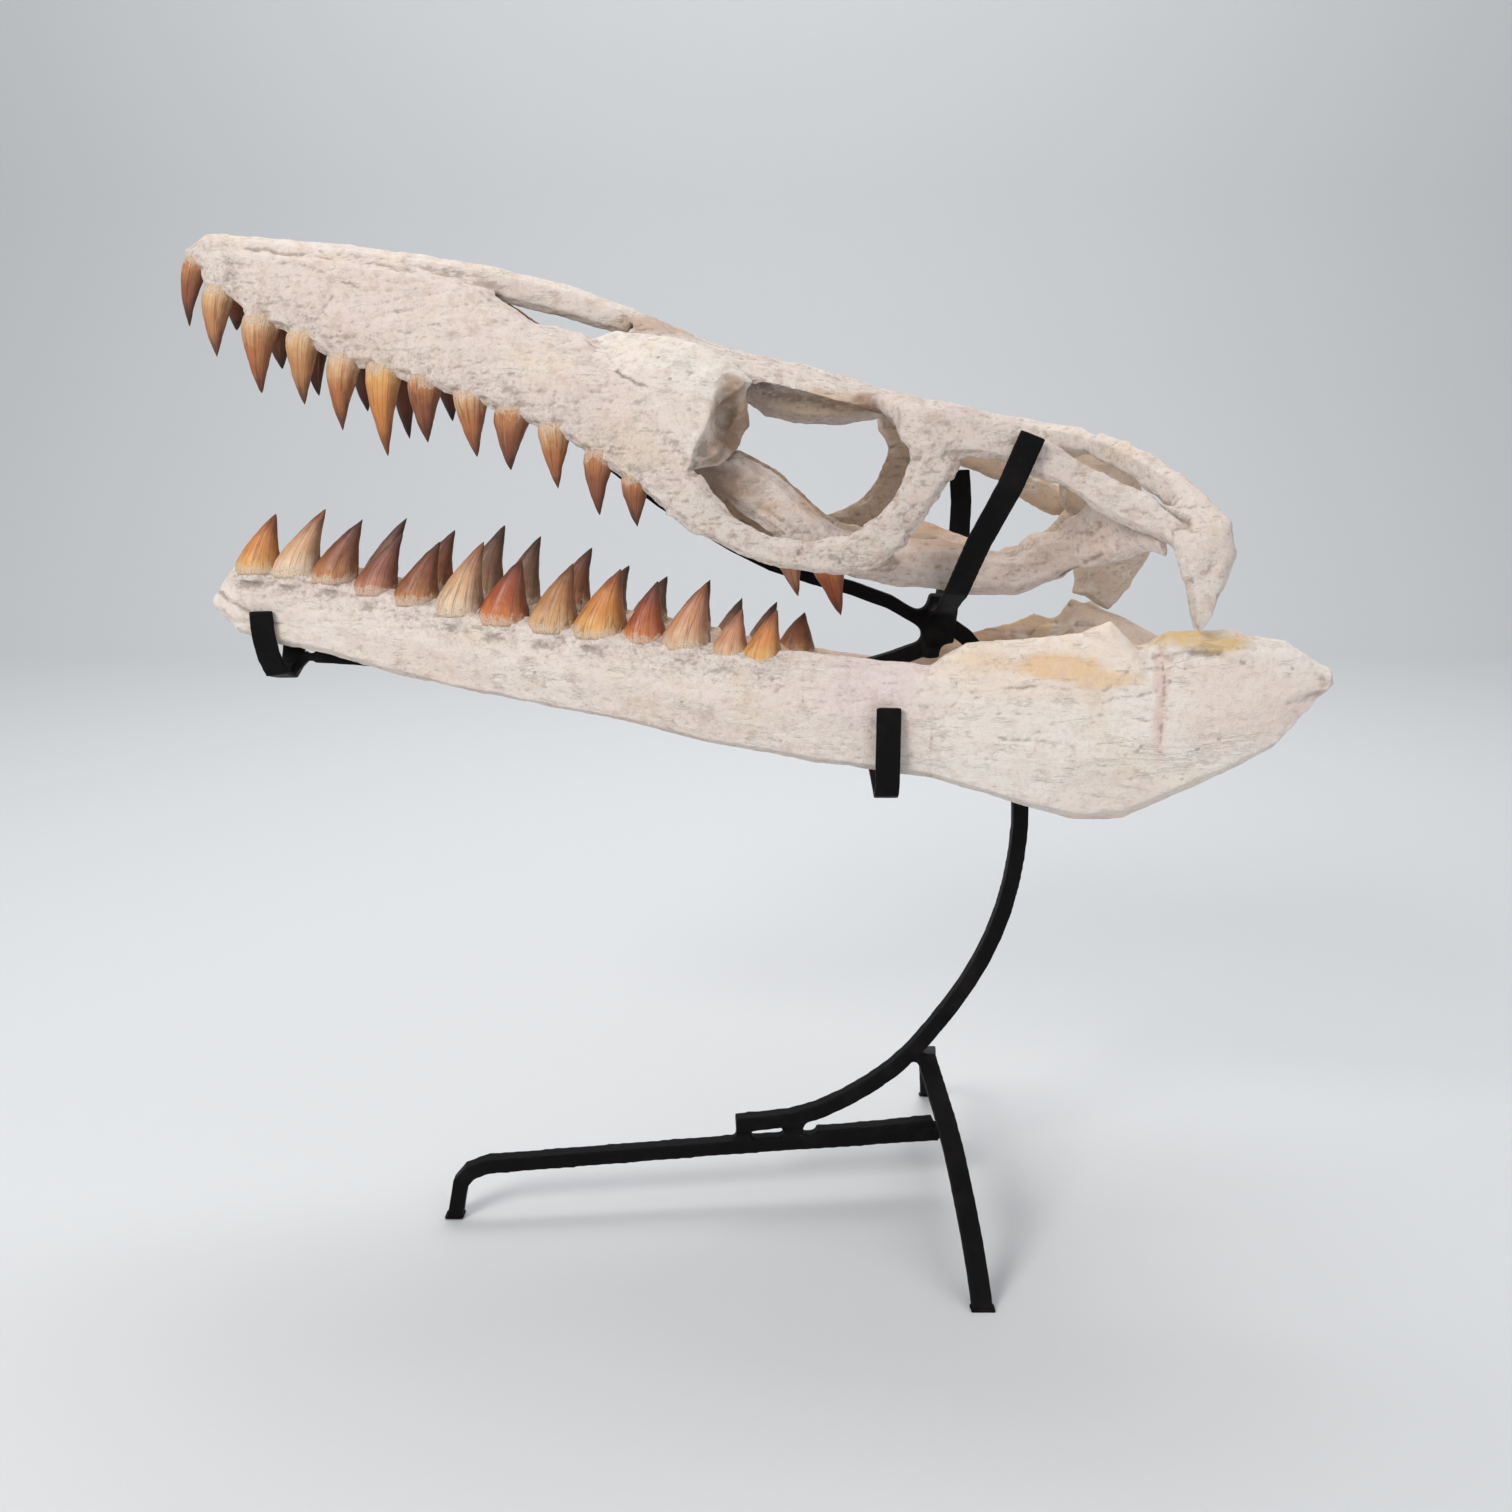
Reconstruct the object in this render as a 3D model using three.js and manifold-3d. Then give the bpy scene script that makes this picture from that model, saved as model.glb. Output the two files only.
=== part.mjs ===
// Mosasaur skull and lower jaw on a welded iron stand.
// Millimetres. X runs from the snout to the back of the head, Y to the animal's right, Z up.
// The floor is z = 0, and the skull's middle plane is y = 0.
import * as THREE from 'three';
import { mergeVertices } from 'three/addons/utils/BufferGeometryUtils.js';
import Module from 'manifold-3d';

const wasm = await Module();
wasm.setup();

// ---- driving dimensions ----

const GAP = 0.4; // clear space between neighbouring pieces
const LEFT = -1;
const RIGHT = 1;

const SNOUT_FRONT = -451;
const MAXILLA_FRONT = -424; // at the roof; the joint slopes back towards the teeth
const MAXILLA_BACK = -38;
const JAW_FRONT = -455;
const DENTARY_BACK = 159;
const JAW_BACK = 461;

const BAR_SIZE = 14; // square iron bar
const STRAP_WIDTH = 20; // flat iron
const STRAP_THICK = 5;
const ROD_SIZE = 12; // thinner bar of the palate arm

const BONE = { color: 0xdccfc2, roughness: 0.88, metalness: 0 };
const PALE_BONE = { color: 0xe3dbcc, roughness: 0.9, metalness: 0 };
const DARK_BONE = { color: 0xc9b49c, roughness: 0.86, metalness: 0 };
const IRON = { color: 0x17161a, roughness: 0.5, metalness: 0.7 };

// ---- profiles: smooth curves through a few measured stations ----

/** A curve that passes through [x, value] stations and never overshoots them. */
function profile(stations) {
  const last = stations.length - 1;
  const rise = (i) => (stations[i + 1][1] - stations[i][1]) / (stations[i + 1][0] - stations[i][0]);
  const slope = (i) => {
    if (i === 0) return rise(0);
    if (i === last) return rise(last - 1);
    const before = rise(i - 1);
    const after = rise(i);
    return before * after > 0 ? (2 * before * after) / (before + after) : 0;
  };
  return (x) => {
    const found = stations.findIndex(([at]) => at > x);
    const i = found < 0 ? last - 1 : Math.max(found - 1, 0);
    const [x0, v0] = stations[i];
    const [x1, v1] = stations[i + 1];
    const span = x1 - x0;
    const f = THREE.MathUtils.clamp((x - x0) / span, 0, 1);
    const f2 = f * f;
    const f3 = f2 * f;
    const ends = v0 * (2 * f3 - 3 * f2 + 1) + v1 * (3 * f2 - 2 * f3);
    return ends + span * (slope(i) * (f3 - 2 * f2 + f) + slope(i + 1) * (f3 - f2));
  };
}

/** A size given as a number or as [t, value] stations along a bar. */
const sized = (size) => (Array.isArray(size) ? profile(size) : () => size);

const mix = (a, b, t) => a + (b - a) * t;

const at = (x, out, z, side = RIGHT) => new THREE.Vector3(x, side * out, z);

// Half widths of the head, from the middle plane to the outer face.
const upperHalfWidth = profile([
  [-451, 12], [-438, 26], [-400, 34], [-300, 50], [-200, 76], [-100, 98], [0, 116], [200, 140],
]);
const lowerHalfWidth = profile([
  [-455, 14], [-400, 27], [-300, 48], [-200, 74], [-100, 101], [0, 124], [200, 160], [300, 172], [400, 180],
  [461, 180],
]);

// Edges of the head in side view.
const roof = profile([
  [-451, 865], [-433, 876], [-380, 871], [-280, 860], [-180, 843], [-81, 813], [-13, 784], [60, 768], [123, 750],
  [191, 736], [270, 720],
]);
const gumLeft = profile([
  [-441, 846], [-424, 820], [-399, 802], [-369, 794], [-326, 768], [-295, 762], [-236, 744], [-184, 726],
  [-128, 703], [-88, 676], [-38, 641],
]);
const jawTopLeft = profile([
  [-455, 573], [-450, 586], [-438, 600], [-420, 604], [-363, 600], [-290, 583], [-180, 564], [-60, 554],
  [35, 541], [130, 543], [159, 534],
]);
const jawBottomLeft = profile([
  [-455, 565], [-449, 550], [-432, 540], [-345, 521], [-300, 509], [-216, 494], [-78, 474], [53, 449], [110, 447],
  [159, 440], [226, 421], [285, 408], [308, 410], [366, 440], [416, 465], [444, 491], [461, 528],
]);

// The right side was crushed a little: its gum line lies higher and its jaw sags behind the tooth row.
const rightLift = profile([[-400, 0], [-300, 12], [-100, 18], [0, 18]]);
const rightSag = profile([
  [-160, 0], [-40, 14], [100, 36], [200, 42], [235, 38], [262, 35], [290, 37], [304, 28], [332, 12], [352, 4],
  [364, 10], [378, 32], [395, 48], [461, 44],
]);
const rightLowerSag = profile([[-160, 0], [100, 12], [300, 14], [390, 34], [461, 42]]);

const gum = (x, side) => gumLeft(x) + (side === RIGHT ? rightLift(x) : 0);
const sag = (x, side) => (side === RIGHT ? rightSag(x) : 0);
const lowerSag = (x, side) => (side === RIGHT ? rightLowerSag(x) : 0);

// ---- solids ----

/** A closed solid from a three.js geometry, turned outside out if its surface was mirrored. */
function solidOf(geometry) {
  geometry.deleteAttribute('normal');
  geometry.deleteAttribute('uv');
  const merged = mergeVertices(geometry, 1e-4);
  const corners = Uint32Array.from(merged.index.array);
  const solid = manifoldOf(merged.attributes.position.array, corners);
  if (solid.volume() > 0) return solid;
  for (let i = 0; i < corners.length; i += 3) {
    [corners[i], corners[i + 1]] = [corners[i + 1], corners[i]];
  }
  return manifoldOf(merged.attributes.position.array, corners);
}

function manifoldOf(vertProperties, triVerts) {
  return new wasm.Manifold(new wasm.Mesh({ numProp: 3, vertProperties, triVerts }));
}

function geometryOf(solid) {
  const mesh = solid.getMesh();
  const geometry = new THREE.BufferGeometry();
  geometry.setAttribute('position', new THREE.BufferAttribute(mesh.vertProperties, 3));
  geometry.setIndex(new THREE.BufferAttribute(mesh.triVerts, 1));
  return geometry;
}

const join = (...solids) => solids.reduce((whole, solid) => whole.add(solid));

/** The same solid, pushed out along its normals. */
function swell(solid, distance) {
  const geometry = geometryOf(solid);
  geometry.computeVertexNormals();
  const place = geometry.attributes.position;
  const normal = geometry.attributes.normal;
  for (let i = 0; i < place.count; i += 1) {
    place.setXYZ(
      i,
      place.getX(i) + distance * normal.getX(i),
      place.getY(i) + distance * normal.getY(i),
      place.getZ(i) + distance * normal.getZ(i),
    );
  }
  return manifoldOf(place.array, geometry.index.array);
}

/** What is left of a solid clear of its neighbours; crumbs that a cut leaves are dropped. */
function clear(solid, ...neighbours) {
  const cut = neighbours.reduce((rest, other) => rest.subtract(swell(other, GAP)), solid);
  return cut.decompose().reduce((best, piece) => (piece.volume() > best.volume() ? piece : best));
}

/**
 * A cylinder bent to shape. place(t, u, v) gives the point for t from 0 to 1 along it
 * and (u, v) on its unit round section; a pointed one has its section shrink to nothing at t = 1.
 */
function bend(steps, sides, place, { pointed = false, turned = 0 } = {}) {
  const tube = new THREE.CylinderGeometry(pointed ? 0 : 1, 1, 1, sides, steps, false, turned);
  const points = tube.attributes.position;
  for (let i = 0; i < points.count; i += 1) {
    const p = place(points.getY(i) + 0.5, points.getX(i), points.getZ(i));
    points.setXYZ(i, p.x, p.y, p.z);
  }
  return solidOf(tube);
}

/** Moves a round section's coordinate towards a square one; 2 keeps it round. */
const squared = (c, power) => Math.sign(c) * Math.abs(c) ** (2 / power);

/** A curved plate. rail(t, s) is its middle surface and thick(t, s) its thickness, both for 0 to 1. */
function plate({ steps, sides, square = 2.8, rail, thick }) {
  const near = 1e-3;
  return bend(steps, sides, (t, u, v) => {
    const s = (squared(v, square) + 1) / 2;
    const along = rail(t + near, s).sub(rail(t - near, s));
    const across = rail(t, s + near).sub(rail(t, s - near));
    const normal = along.cross(across).normalize();
    return rail(t, s).addScaledVector(normal, (squared(u, square) * thick(t, s)) / 2);
  });
}

const UP = new THREE.Vector3(0, 0, 1);
const ACROSS = new THREE.Vector3(0, 1, 0);
const LENGTHWISE = new THREE.Vector3(1, 0, 0);

/** Directions of a bar's width and height where it runs along tangent. */
function frameOf(tangent, face) {
  const broad = face ? face.clone() : new THREE.Vector3().crossVectors(tangent, UP);
  broad.addScaledVector(tangent, -broad.dot(tangent)).normalize();
  return { broad, tall: new THREE.Vector3().crossVectors(broad, tangent) };
}

/** A rounded bar of bone along a smooth line through [x, out, z] points. */
function limb({ points, side = RIGHT, tall, wide, steps = 8, sides = 6, square = 2.3, face, ends = 0.6 }) {
  const line = new THREE.CatmullRomCurve3(points.map(([x, out, z]) => at(x, out, z, side)));
  const tallAt = sized(tall);
  const wideAt = sized(wide);
  const rounded = profile([[0, ends], [0.12, 1], [0.88, 1], [1, ends]]);
  return bend(steps, sides, (t, u, v) => {
    const { broad, tall: rise } = frameOf(line.getTangentAt(t), face);
    return line
      .getPointAt(t)
      .addScaledVector(rise, (squared(v, square) * tallAt(t) * rounded(t)) / 2)
      .addScaledVector(broad, (squared(u, square) * wideAt(t) * rounded(t)) / 2);
  });
}

/** A bar of square or flat iron through points, mitred at each; start and end turn its end faces. */
function iron({ points, side = RIGHT, wide = BAR_SIZE, tall = BAR_SIZE, face, start, end }) {
  const line = points.map(([x, out, z]) => at(x, out, z, side));
  const last = line.length - 1;
  const run = (i) => line[i + 1].clone().sub(line[i]).normalize();
  return bend(
    last,
    4,
    (t, u, v) => {
      const i = Math.round(t * last);
      const into = run(Math.max(i - 1, 0));
      const plane = into.clone().add(run(Math.min(i, last - 1))).normalize();
      if (start && i === 0) plane.copy(start);
      if (end && i === last) plane.copy(end);
      const { broad, tall: rise } = frameOf(into, face);
      const offset = broad.multiplyScalar((u * Math.SQRT2 * wide) / 2);
      offset.addScaledVector(rise, (v * Math.SQRT2 * tall) / 2);
      offset.addScaledVector(into, -offset.dot(plane) / into.dot(plane));
      return line[i].clone().add(offset);
    },
    { turned: Math.PI / 4 },
  );
}

/** Points spaced evenly on a smooth line through [x, out, z] points. */
function smooth(points, count) {
  const line = new THREE.CatmullRomCurve3(points.map((p) => new THREE.Vector3(...p)));
  return line.getSpacedPoints(count).map((p) => p.toArray());
}

// ---- teeth ----

const TOOTH_ROOT = 6; // length of the root inside the bone
const ROOT_WIDTH = 0.62; // its width over the crown's
const TOOTH_FLATTEN = 0.78; // crown depth over crown length along the jaw

/** A curved conical tooth whose crown leans by lean along X and rises by height along Z. */
function tooth({ x, out, z, side, width, lean, height, curl }) {
  const root = TOOTH_ROOT * Math.sign(height);
  return bend(
    3,
    5,
    (t, u, v) => {
      const girth = t === 0 ? ROOT_WIDTH : 1 + 1.25 * t; // narrows slowly near the gum, fast near the tip
      return at(
        x + lean * t ** curl - (u * girth * width) / 2,
        out + (v * girth * TOOTH_FLATTEN * width) / 2,
        z - root + (height + root) * t,
        side,
      );
    },
    { pointed: true },
  );
}

// Rows of [x, width, lean, height] along the gum; the right rows are worn and set a little differently.
const SNOUT_TEETH = {
  [LEFT]: [[-443, 25, -13, -50], [-425, 31, -8, -52]],
  [RIGHT]: [[-438, 23, -8, -22], [-422, 26, -6, -24]],
};
const UPPER_TEETH = {
  [LEFT]: [
    [-391, 36, -6, -58], [-355, 33, -5, -54], [-321, 32, -7, -56], [-288, 33, -2, -70], [-253, 32, -1, -49],
    [-215, 31, 3, -47], [-178, 34, -5, -44], [-145, 29, 1, -46], [-108, 28, -2, -46], [-79, 26, 0, -35],
  ],
  [RIGHT]: [
    [-390, 36, -2, -38], [-363, 34, 0, -57], [-323, 34, 0, -51], [-289, 34, 0, -70], [-254, 32, 2, -46],
    [-214, 25, 2, -25], [-172, 26, -2, -20], [-140, 24, 0, -19], [-109, 20, 0, -18], [-80, 19, 1, -16],
  ],
};
const LOWER_TEETH = {
  [LEFT]: [
    [-413, 39, 18, 45], [-379, 41, 28, 51], [-345, 41, 27, 48], [-309, 38, 26, 46], [-273, 39, 23, 47],
    [-234, 41, 23, 56], [-195, 43, 17, 49], [-152, 42, 18, 51], [-112, 45, 18, 50], [-74, 34, 11, 44],
    [-40, 40, 17, 47], [-4, 30, 10, 34], [22, 33, 12, 37],
  ],
  [RIGHT]: [
    [-424, 28, 19, 33], [-391, 30, 21, 35], [-362, 32, 21, 26], [-320, 32, 27, 52], [-278, 42, 25, 50],
    [-234, 43, 24, 62], [-201, 40, 22, 57], [-157, 40, 23, 51], [-123, 38, 22, 40], [-84, 34, 18, 37],
    [-44, 36, 18, 42], [-8, 28, 12, 36], [23, 31, 14, 41], [55, 38, 9, 36],
  ],
};
const PALATE_TEETH = [[46, 25, 6, -32], [80, 29, 8, -40]];
const UPPER_CURL = 0.7; // the upper crowns bend near the gum, the lower ones near the tip
const LOWER_CURL = 1.4;

function toothRow({ rows, side, out, base, curl }) {
  return rows[side].map(([x, width, lean, height]) => (
    tooth({ x, out: out(x), z: base(x), side, width, lean, height, curl })
  ));
}

// ---- snout ----

const GUM_DEPTH = 25; // thickness of the tooth-bearing edge

function premaxilla() {
  const halfWidth = profile([[0, 10], [0.2, 22], [1, 34]]);
  const bottom = profile([[0, 846], [0.3, 833], [1, 811]]);
  const block = bend(4, 8, (t, u, v) => {
    const x = mix(SNOUT_FRONT, MAXILLA_FRONT, t) + 8 * t * (1 - v);
    const top = roof(x);
    return at(
      x,
      squared(u, 2.6) * halfWidth(t),
      mix(bottom(t), top, (squared(v, 2.6) + 1) / 2),
    );
  });
  const barPoints = [-436, -365, -265, -190, -140, -88].map((x) => [x, 0, roof(x) - 13]);
  const bar = limb({
    points: barPoints,
    tall: [[0, 26], [0.6, 27], [1, 27]],
    wide: [[0, 34], [0.4, 26], [0.65, 16], [1, 18]],
    steps: 6,
    sides: 6,
    ends: 0.9,
  });
  const teeth = [LEFT, RIGHT].flatMap((side) => toothRow({
    rows: SNOUT_TEETH,
    side,
    out: (x) => mix(13, 19, (x + 443) / 18),
    base: (x) => mix(850, 826, (x + 443) / 18),
    curl: UPPER_CURL,
  }));
  return join(block, bar, ...teeth);
}

// Upper edge of the maxilla: under the roof bar, along the nostril, then down the prefrontal joint.
const maxillaTop = profile([
  [-424, 862], [-365, 859], [-265, 844], [-210, 832], [-188, 818], [-168, 803], [-112, 789], [-76, 741],
  [-38, 692],
]);
const maxillaTopOut = profile([
  [-424, 15], [-265, 15], [-205, 16], [-188, 22], [-150, 30], [-112, 36], [-76, 86], [-38, 100],
]);

function maxilla(side) {
  const wall = plate({
    steps: 9,
    sides: 8,
    square: 3,
    rail: (t, s) => {
      const x = mix(MAXILLA_FRONT, MAXILLA_BACK, t) + 21 * (1 - s) * (1 - t) ** 3;
      const spread = (1 - s ** 1.9) ** 0.62;
      const outer = mix(maxillaTopOut(x), upperHalfWidth(x) - GUM_DEPTH / 2, spread || 0);
      return at(x, outer, mix(gum(x, side), maxillaTop(x), s), side);
    },
    thick: (t, s) => mix(GUM_DEPTH, 12, Math.min(1, s * 1.6)),
  });
  const teeth = toothRow({
    rows: UPPER_TEETH,
    side,
    out: (x) => upperHalfWidth(x) - GUM_DEPTH / 2 - 1,
    base: (x) => gum(x, side) + 4,
    curl: UPPER_CURL,
  });
  return join(wall, ...teeth);
}

/** The roof of the mouth: a shallow vault between the two tooth rows. */
function palate() {
  return plate({
    steps: 4,
    sides: 6,
    rail: (t, s) => {
      const x = mix(-392, -100, t);
      const across = 2 * s - 1;
      const half = upperHalfWidth(x) - GUM_DEPTH - 3;
      return at(x, half * across, gumLeft(x) + 32 - 8 * across * across);
    },
    thick: () => 12,
  });
}

// ---- cheek and roof of the orbit ----

/** The prefrontal: a curved triangle from the nostril to the front rim of the orbit. */
function prefrontal(side) {
  const lowerX = profile([[0, -114], [0.5, -78], [1, -35]]);
  const lowerOut = profile([[0, 32], [0.5, 88], [1, 102]]);
  const lowerZ = profile([[0, 786], [0.5, 742], [1, 685]]);
  const upperX = profile([[0, -84], [0.5, -34], [1, 16]]);
  const upperOut = profile([[0, 24], [0.35, 36], [0.7, 55], [1, 66]]);
  const upperZ = profile([[0, 789], [0.35, 788], [0.65, 780], [1, 754]]);
  const cheek = plate({
    steps: 5,
    sides: 8,
    rail: (t, s) => {
      const bulge = Math.sin(Math.PI * THREE.MathUtils.clamp(s, 0, 1));
      return at(
        mix(lowerX(t), upperX(t), s) - 9 * bulge * t,
        mix(lowerOut(t), upperOut(t), s) + 10 * bulge * t,
        mix(lowerZ(t), upperZ(t), s) + 3 * bulge,
        side,
      );
    },
    thick: (t) => mix(12, 20, t),
  });
  const orbitWall = limb({
    points: [[-38, 88, 692], [-15, 80, 707], [-2, 66, 726], [2, 56, 744]],
    side,
    tall: 40,
    wide: [[0, 26], [0.5, 34], [1, 22]],
    steps: 4,
    face: LENGTHWISE,
  });
  return join(cheek, orbitWall);
}

const FRONTAL_FRONT = -90;
const FRONTAL_BACK = 126;
const frontalHalfWidth = profile([[-90, 13], [-76, 22], [-17, 44], [20, 56], [100, 58], [126, 62]]);

function frontal() {
  const table = plate({
    steps: 7,
    sides: 8,
    rail: (t, s) => {
      const x = mix(FRONTAL_FRONT, FRONTAL_BACK, t);
      const across = 2 * s - 1;
      const drop = mix(6, 16, Math.min(1, 2 * t)) * across * across;
      return at(x, frontalHalfWidth(x) * across, roof(x) - 7 - drop);
    },
    thick: (t) => mix(9, 14, Math.min(1, 3 * t)),
  });
  const keel = limb({
    points: [[0, 0, 755], [50, 0, 741], [124, 0, 735]],
    tall: [[0, 36], [0.4, 41], [1, 34]],
    wide: [[0, 30], [0.5, 52], [1, 56]],
    steps: 4,
    sides: 6,
  });
  return join(table, keel);
}

function jugal(side) {
  const back = side === RIGHT ? 5 : 0; // the right one bends up a little further back
  return limb({
    points: [
      [-42, 100, 666], [-20, 104, 646], [8, 109, 629], [40, 114, 620], [70, 118, 618], [96, 122, 621],
      [117 + back, 125, 633], [133 + back, 127, 651], [145 + back, 129, 672], [158 + back, 130, 697],
    ],
    side,
    tall: [[0, 46], [0.1, 36], [0.22, 23], [0.45, 26], [0.62, 36], [0.75, 33], [0.86, 30], [1, 44]],
    wide: [[0, 18], [0.3, 14], [1, 16]],
    steps: 11,
    face: ACROSS,
    ends: 0.95,
  });
}

const templeSag = (side) => (side === RIGHT ? 10 : 0); // the right bar behind the eye hangs lower

function postorbital(side) {
  const low = templeSag(side);
  const shelf = limb({
    points: [[116, 58, 740], [132, 88, 735], [140, 122, 724]],
    side,
    tall: [[0, 16], [1, 26]],
    wide: [[0, 34], [1, 42]],
    steps: 3,
    square: 2.6,
  });
  const bar = limb({
    points: [
      [128, 122, 721], [160, 126, 718 - low], [205, 134, 709 - low], [236, 140, 695 - low], [260, 144, 682 - low],
    ],
    side,
    tall: [[0, 36], [0.3, 38], [0.6, 32], [1, 25]],
    wide: [[0, 22], [0.5, 18], [1, 15]],
    steps: 5,
    square: 2.6,
    ends: 0.9,
  });
  const foot = limb({
    points: [[146, 126, 722 - low / 6], [156, 129, 708], [162, 130, 702]],
    side,
    tall: [[0, 36], [1, 44]],
    wide: 17,
    steps: 2,
    face: ACROSS,
    ends: 0.95,
  });
  return join(shelf, bar, foot);
}

function squamosal(side) {
  const low = templeSag(side);
  return limb({
    points: [
      [261, 144, 681 - low], [285, 150, 667 - low], [310, 156, 656 - low], [335, 163, 644], [356, 170, 633],
    ],
    side,
    tall: [[0, 25], [0.5, 31], [0.85, 29], [1, 22]],
    wide: [[0, 15], [1, 20]],
    steps: 4,
    square: 2.6,
    ends: 0.9,
  });
}

function parietal() {
  const halfWidth = profile([[127, 60], [142, 44], [170, 30], [210, 22], [262, 22], [276, 26]]);
  const table = plate({
    steps: 5,
    sides: 8,
    rail: (t, s) => {
      const x = mix(FRONTAL_BACK + 1.5, 276, t);
      const across = 2 * s - 1;
      return at(x, halfWidth(x) * across, roof(x) - 8 - mix(12, 4, t) * across * across);
    },
    thick: () => 15,
  });
  const keel = limb({
    points: [[134, 0, 728], [200, 0, 712], [272, 0, 698]],
    tall: [[0, 26], [1, 34]],
    wide: [[0, 52], [0.5, 36], [1, 44]],
    steps: 3,
    sides: 6,
  });
  const wings = [LEFT, RIGHT].map((side) => limb({
    points: [[258, 6, 712], [276, 32, 709], [296, 62, 703]],
    side,
    tall: [[0, 20], [1, 22]],
    wide: 20,
    steps: 3,
    sides: 6,
  }));
  return join(table, keel, ...wings);
}

function supratemporal(side) {
  return limb({
    points: [[296, 62, 703], [312, 92, 694], [330, 122, 680], [350, 150, 661], [371, 172, 641]],
    side,
    tall: [[0, 23], [0.7, 27], [1, 27]],
    wide: [[0, 19], [1, 22]],
    steps: 5,
    ends: 0.95,
  });
}

function braincase() {
  return bend(4, 8, (t, u, v) => {
    const size = [0.72, 1, 1, 0.94, 0.7][Math.round(t * 4)];
    return at(mix(284, 344, t), squared(u, 2.6) * 40 * size, 668 - 5 * t + squared(v, 2.6) * 28 * size);
  });
}

/** The quadrate: broad and hollowed on its outer face above, a hinge below; the right one is stouter. */
function quadrate(side) {
  const shaft = limb({
    points: side === RIGHT
      ? [[362, 176, 640], [374, 183, 612], [364, 183, 578], [350, 176, 546]]
      : [[355, 176, 640], [354, 183, 620], [354, 184, 598], [353, 179, 569]],
    side,
    tall: side === RIGHT
      ? [[0, 54], [0.4, 78], [0.7, 62], [1, 52]]
      : [[0, 54], [0.22, 50], [0.5, 33], [0.75, 19], [1, 16]],
    wide: [[0, 20], [0.4, 18], [1, 28]],
    steps: 5,
    square: 2.5,
    face: ACROSS,
    ends: 0.85,
  });
  const hollow = new THREE.SphereGeometry(1, 8, 5);
  hollow.scale(15, 9, 20);
  hollow.translate(354, side * 198, 622);
  return shaft.subtract(solidOf(hollow));
}

// ---- palate ----

function pterygoid(side) {
  const slump = side === RIGHT ? 17 : 0; // the right wing lies lower and is shallower
  const body = limb({
    points: [
      [-36, 58, 688], [2, 62, 677], [38, 64, 650], [80, 64, 619], [125, 64, 609],
      [175, 64, 606 + slump / 3], [214, 64, 597 - slump / 5], [240, 66, 602 - slump], [262, 74, 617 - slump],
      [284, 88, 623 - slump],
    ],
    side,
    tall: [
      [0, 24], [0.14, 45], [0.3, 40], [0.42, 34], [0.55, 42], [0.72, 43], [0.8, 36], [0.92, 48 - slump],
      [1, 44 - slump],
    ],
    wide: [[0, 24], [0.35, 20], [0.8, 24], [1, 16]],
    steps: 11,
    face: ACROSS,
  });
  const wing = limb({
    points: [[268, 78, 622 - slump], [296, 104, 630 - slump], [318, 136, 632], [334, 160, 629]],
    side,
    tall: [[0, 46 - slump], [0.4, 40 - slump], [0.7, 30], [1, 24]],
    wide: 13,
    steps: 4,
    sides: 6,
    ends: 0.9,
  });
  const teeth = PALATE_TEETH.map(([x, width, lean, height]) => (
    tooth({ x, out: 64, z: x < 60 ? 612 : 604, side, width, lean, height, curl: LOWER_CURL })
  ));
  return join(body, wing, ...teeth);
}

function ectopterygoid(side) {
  return limb({
    points: [[118, 68, 612], [112, 92, 616], [106, 118, 621]],
    side,
    tall: 20,
    wide: [[0, 34], [0.6, 22], [1, 30]],
    steps: 3,
    face: LENGTHWISE,
  });
}

function palatine(side) {
  return limb({
    points: [[-120, 52, 706], [-80, 58, 696], [-38, 58, 688]],
    side,
    tall: [[0, 14], [1, 24]],
    wide: [[0, 50], [1, 32]],
    steps: 3,
    sides: 6,
  });
}

// ---- lower jaw ----

const jawThickness = profile([
  [-450, 9], [-440, 13], [-400, 22], [-300, 28], [0, 32], [300, 30], [400, 28], [461, 20],
]);
const leanIn = profile([[-400, 0], [-200, 9]]); // how much nearer the middle plane the lower edge lies

/** One length of a jaw ramus between two X places, with its own upper edge. */
function ramus({ side, from, to, steps, crowd, top }) {
  return plate({
    steps,
    sides: 8,
    square: 3,
    rail: (t, s) => {
      const x = mix(from, to, Math.max(t, 0) ** crowd);
      const low = jawBottomLeft(x) - lowerSag(x, side);
      const high = top(x) - sag(x, side);
      const lean = leanIn(x) * (1 - s) ** 2;
      return at(x, lowerHalfWidth(x) - jawThickness(x) / 2 - lean, mix(low, high, s), side);
    },
    thick: (t) => jawThickness(mix(from, to, Math.max(t, 0) ** crowd)),
  });
}

function dentary(side) {
  const bone = ramus({
    side, from: JAW_FRONT, to: DENTARY_BACK, steps: 10, crowd: 1.5, top: jawTopLeft,
  });
  const teeth = toothRow({
    rows: LOWER_TEETH,
    side,
    out: (x) => lowerHalfWidth(x) - jawThickness(x) / 2,
    base: (x) => jawTopLeft(x) - sag(x, side) - 4,
    curl: LOWER_CURL,
  });
  return join(bone, ...teeth);
}

const surangularTop = profile([
  [159, 533], [190, 518], [285, 515], [302, 524], [318, 551], [348, 555], [398, 563], [424, 559], [446, 549],
  [461, 535],
]);

function surangular(side) {
  const bone = ramus({
    side, from: DENTARY_BACK + 2 * GAP, to: JAW_BACK, steps: 8, crowd: 1, top: surangularTop,
  });
  const shelf = [[300, 148, 535], [335, 158, 553], [380, 164, 555], [424, 166, 551]];
  const hingeShelf = limb({
    points: shelf.map(([x, out, z]) => [x, out, z - sag(x, side)]),
    side,
    tall: [[0, 16], [0.5, 24], [1, 18]],
    wide: [[0, 16], [0.5, 28], [1, 18]],
    steps: 3,
    sides: 6,
  });
  return join(bone, hingeShelf);
}

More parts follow.
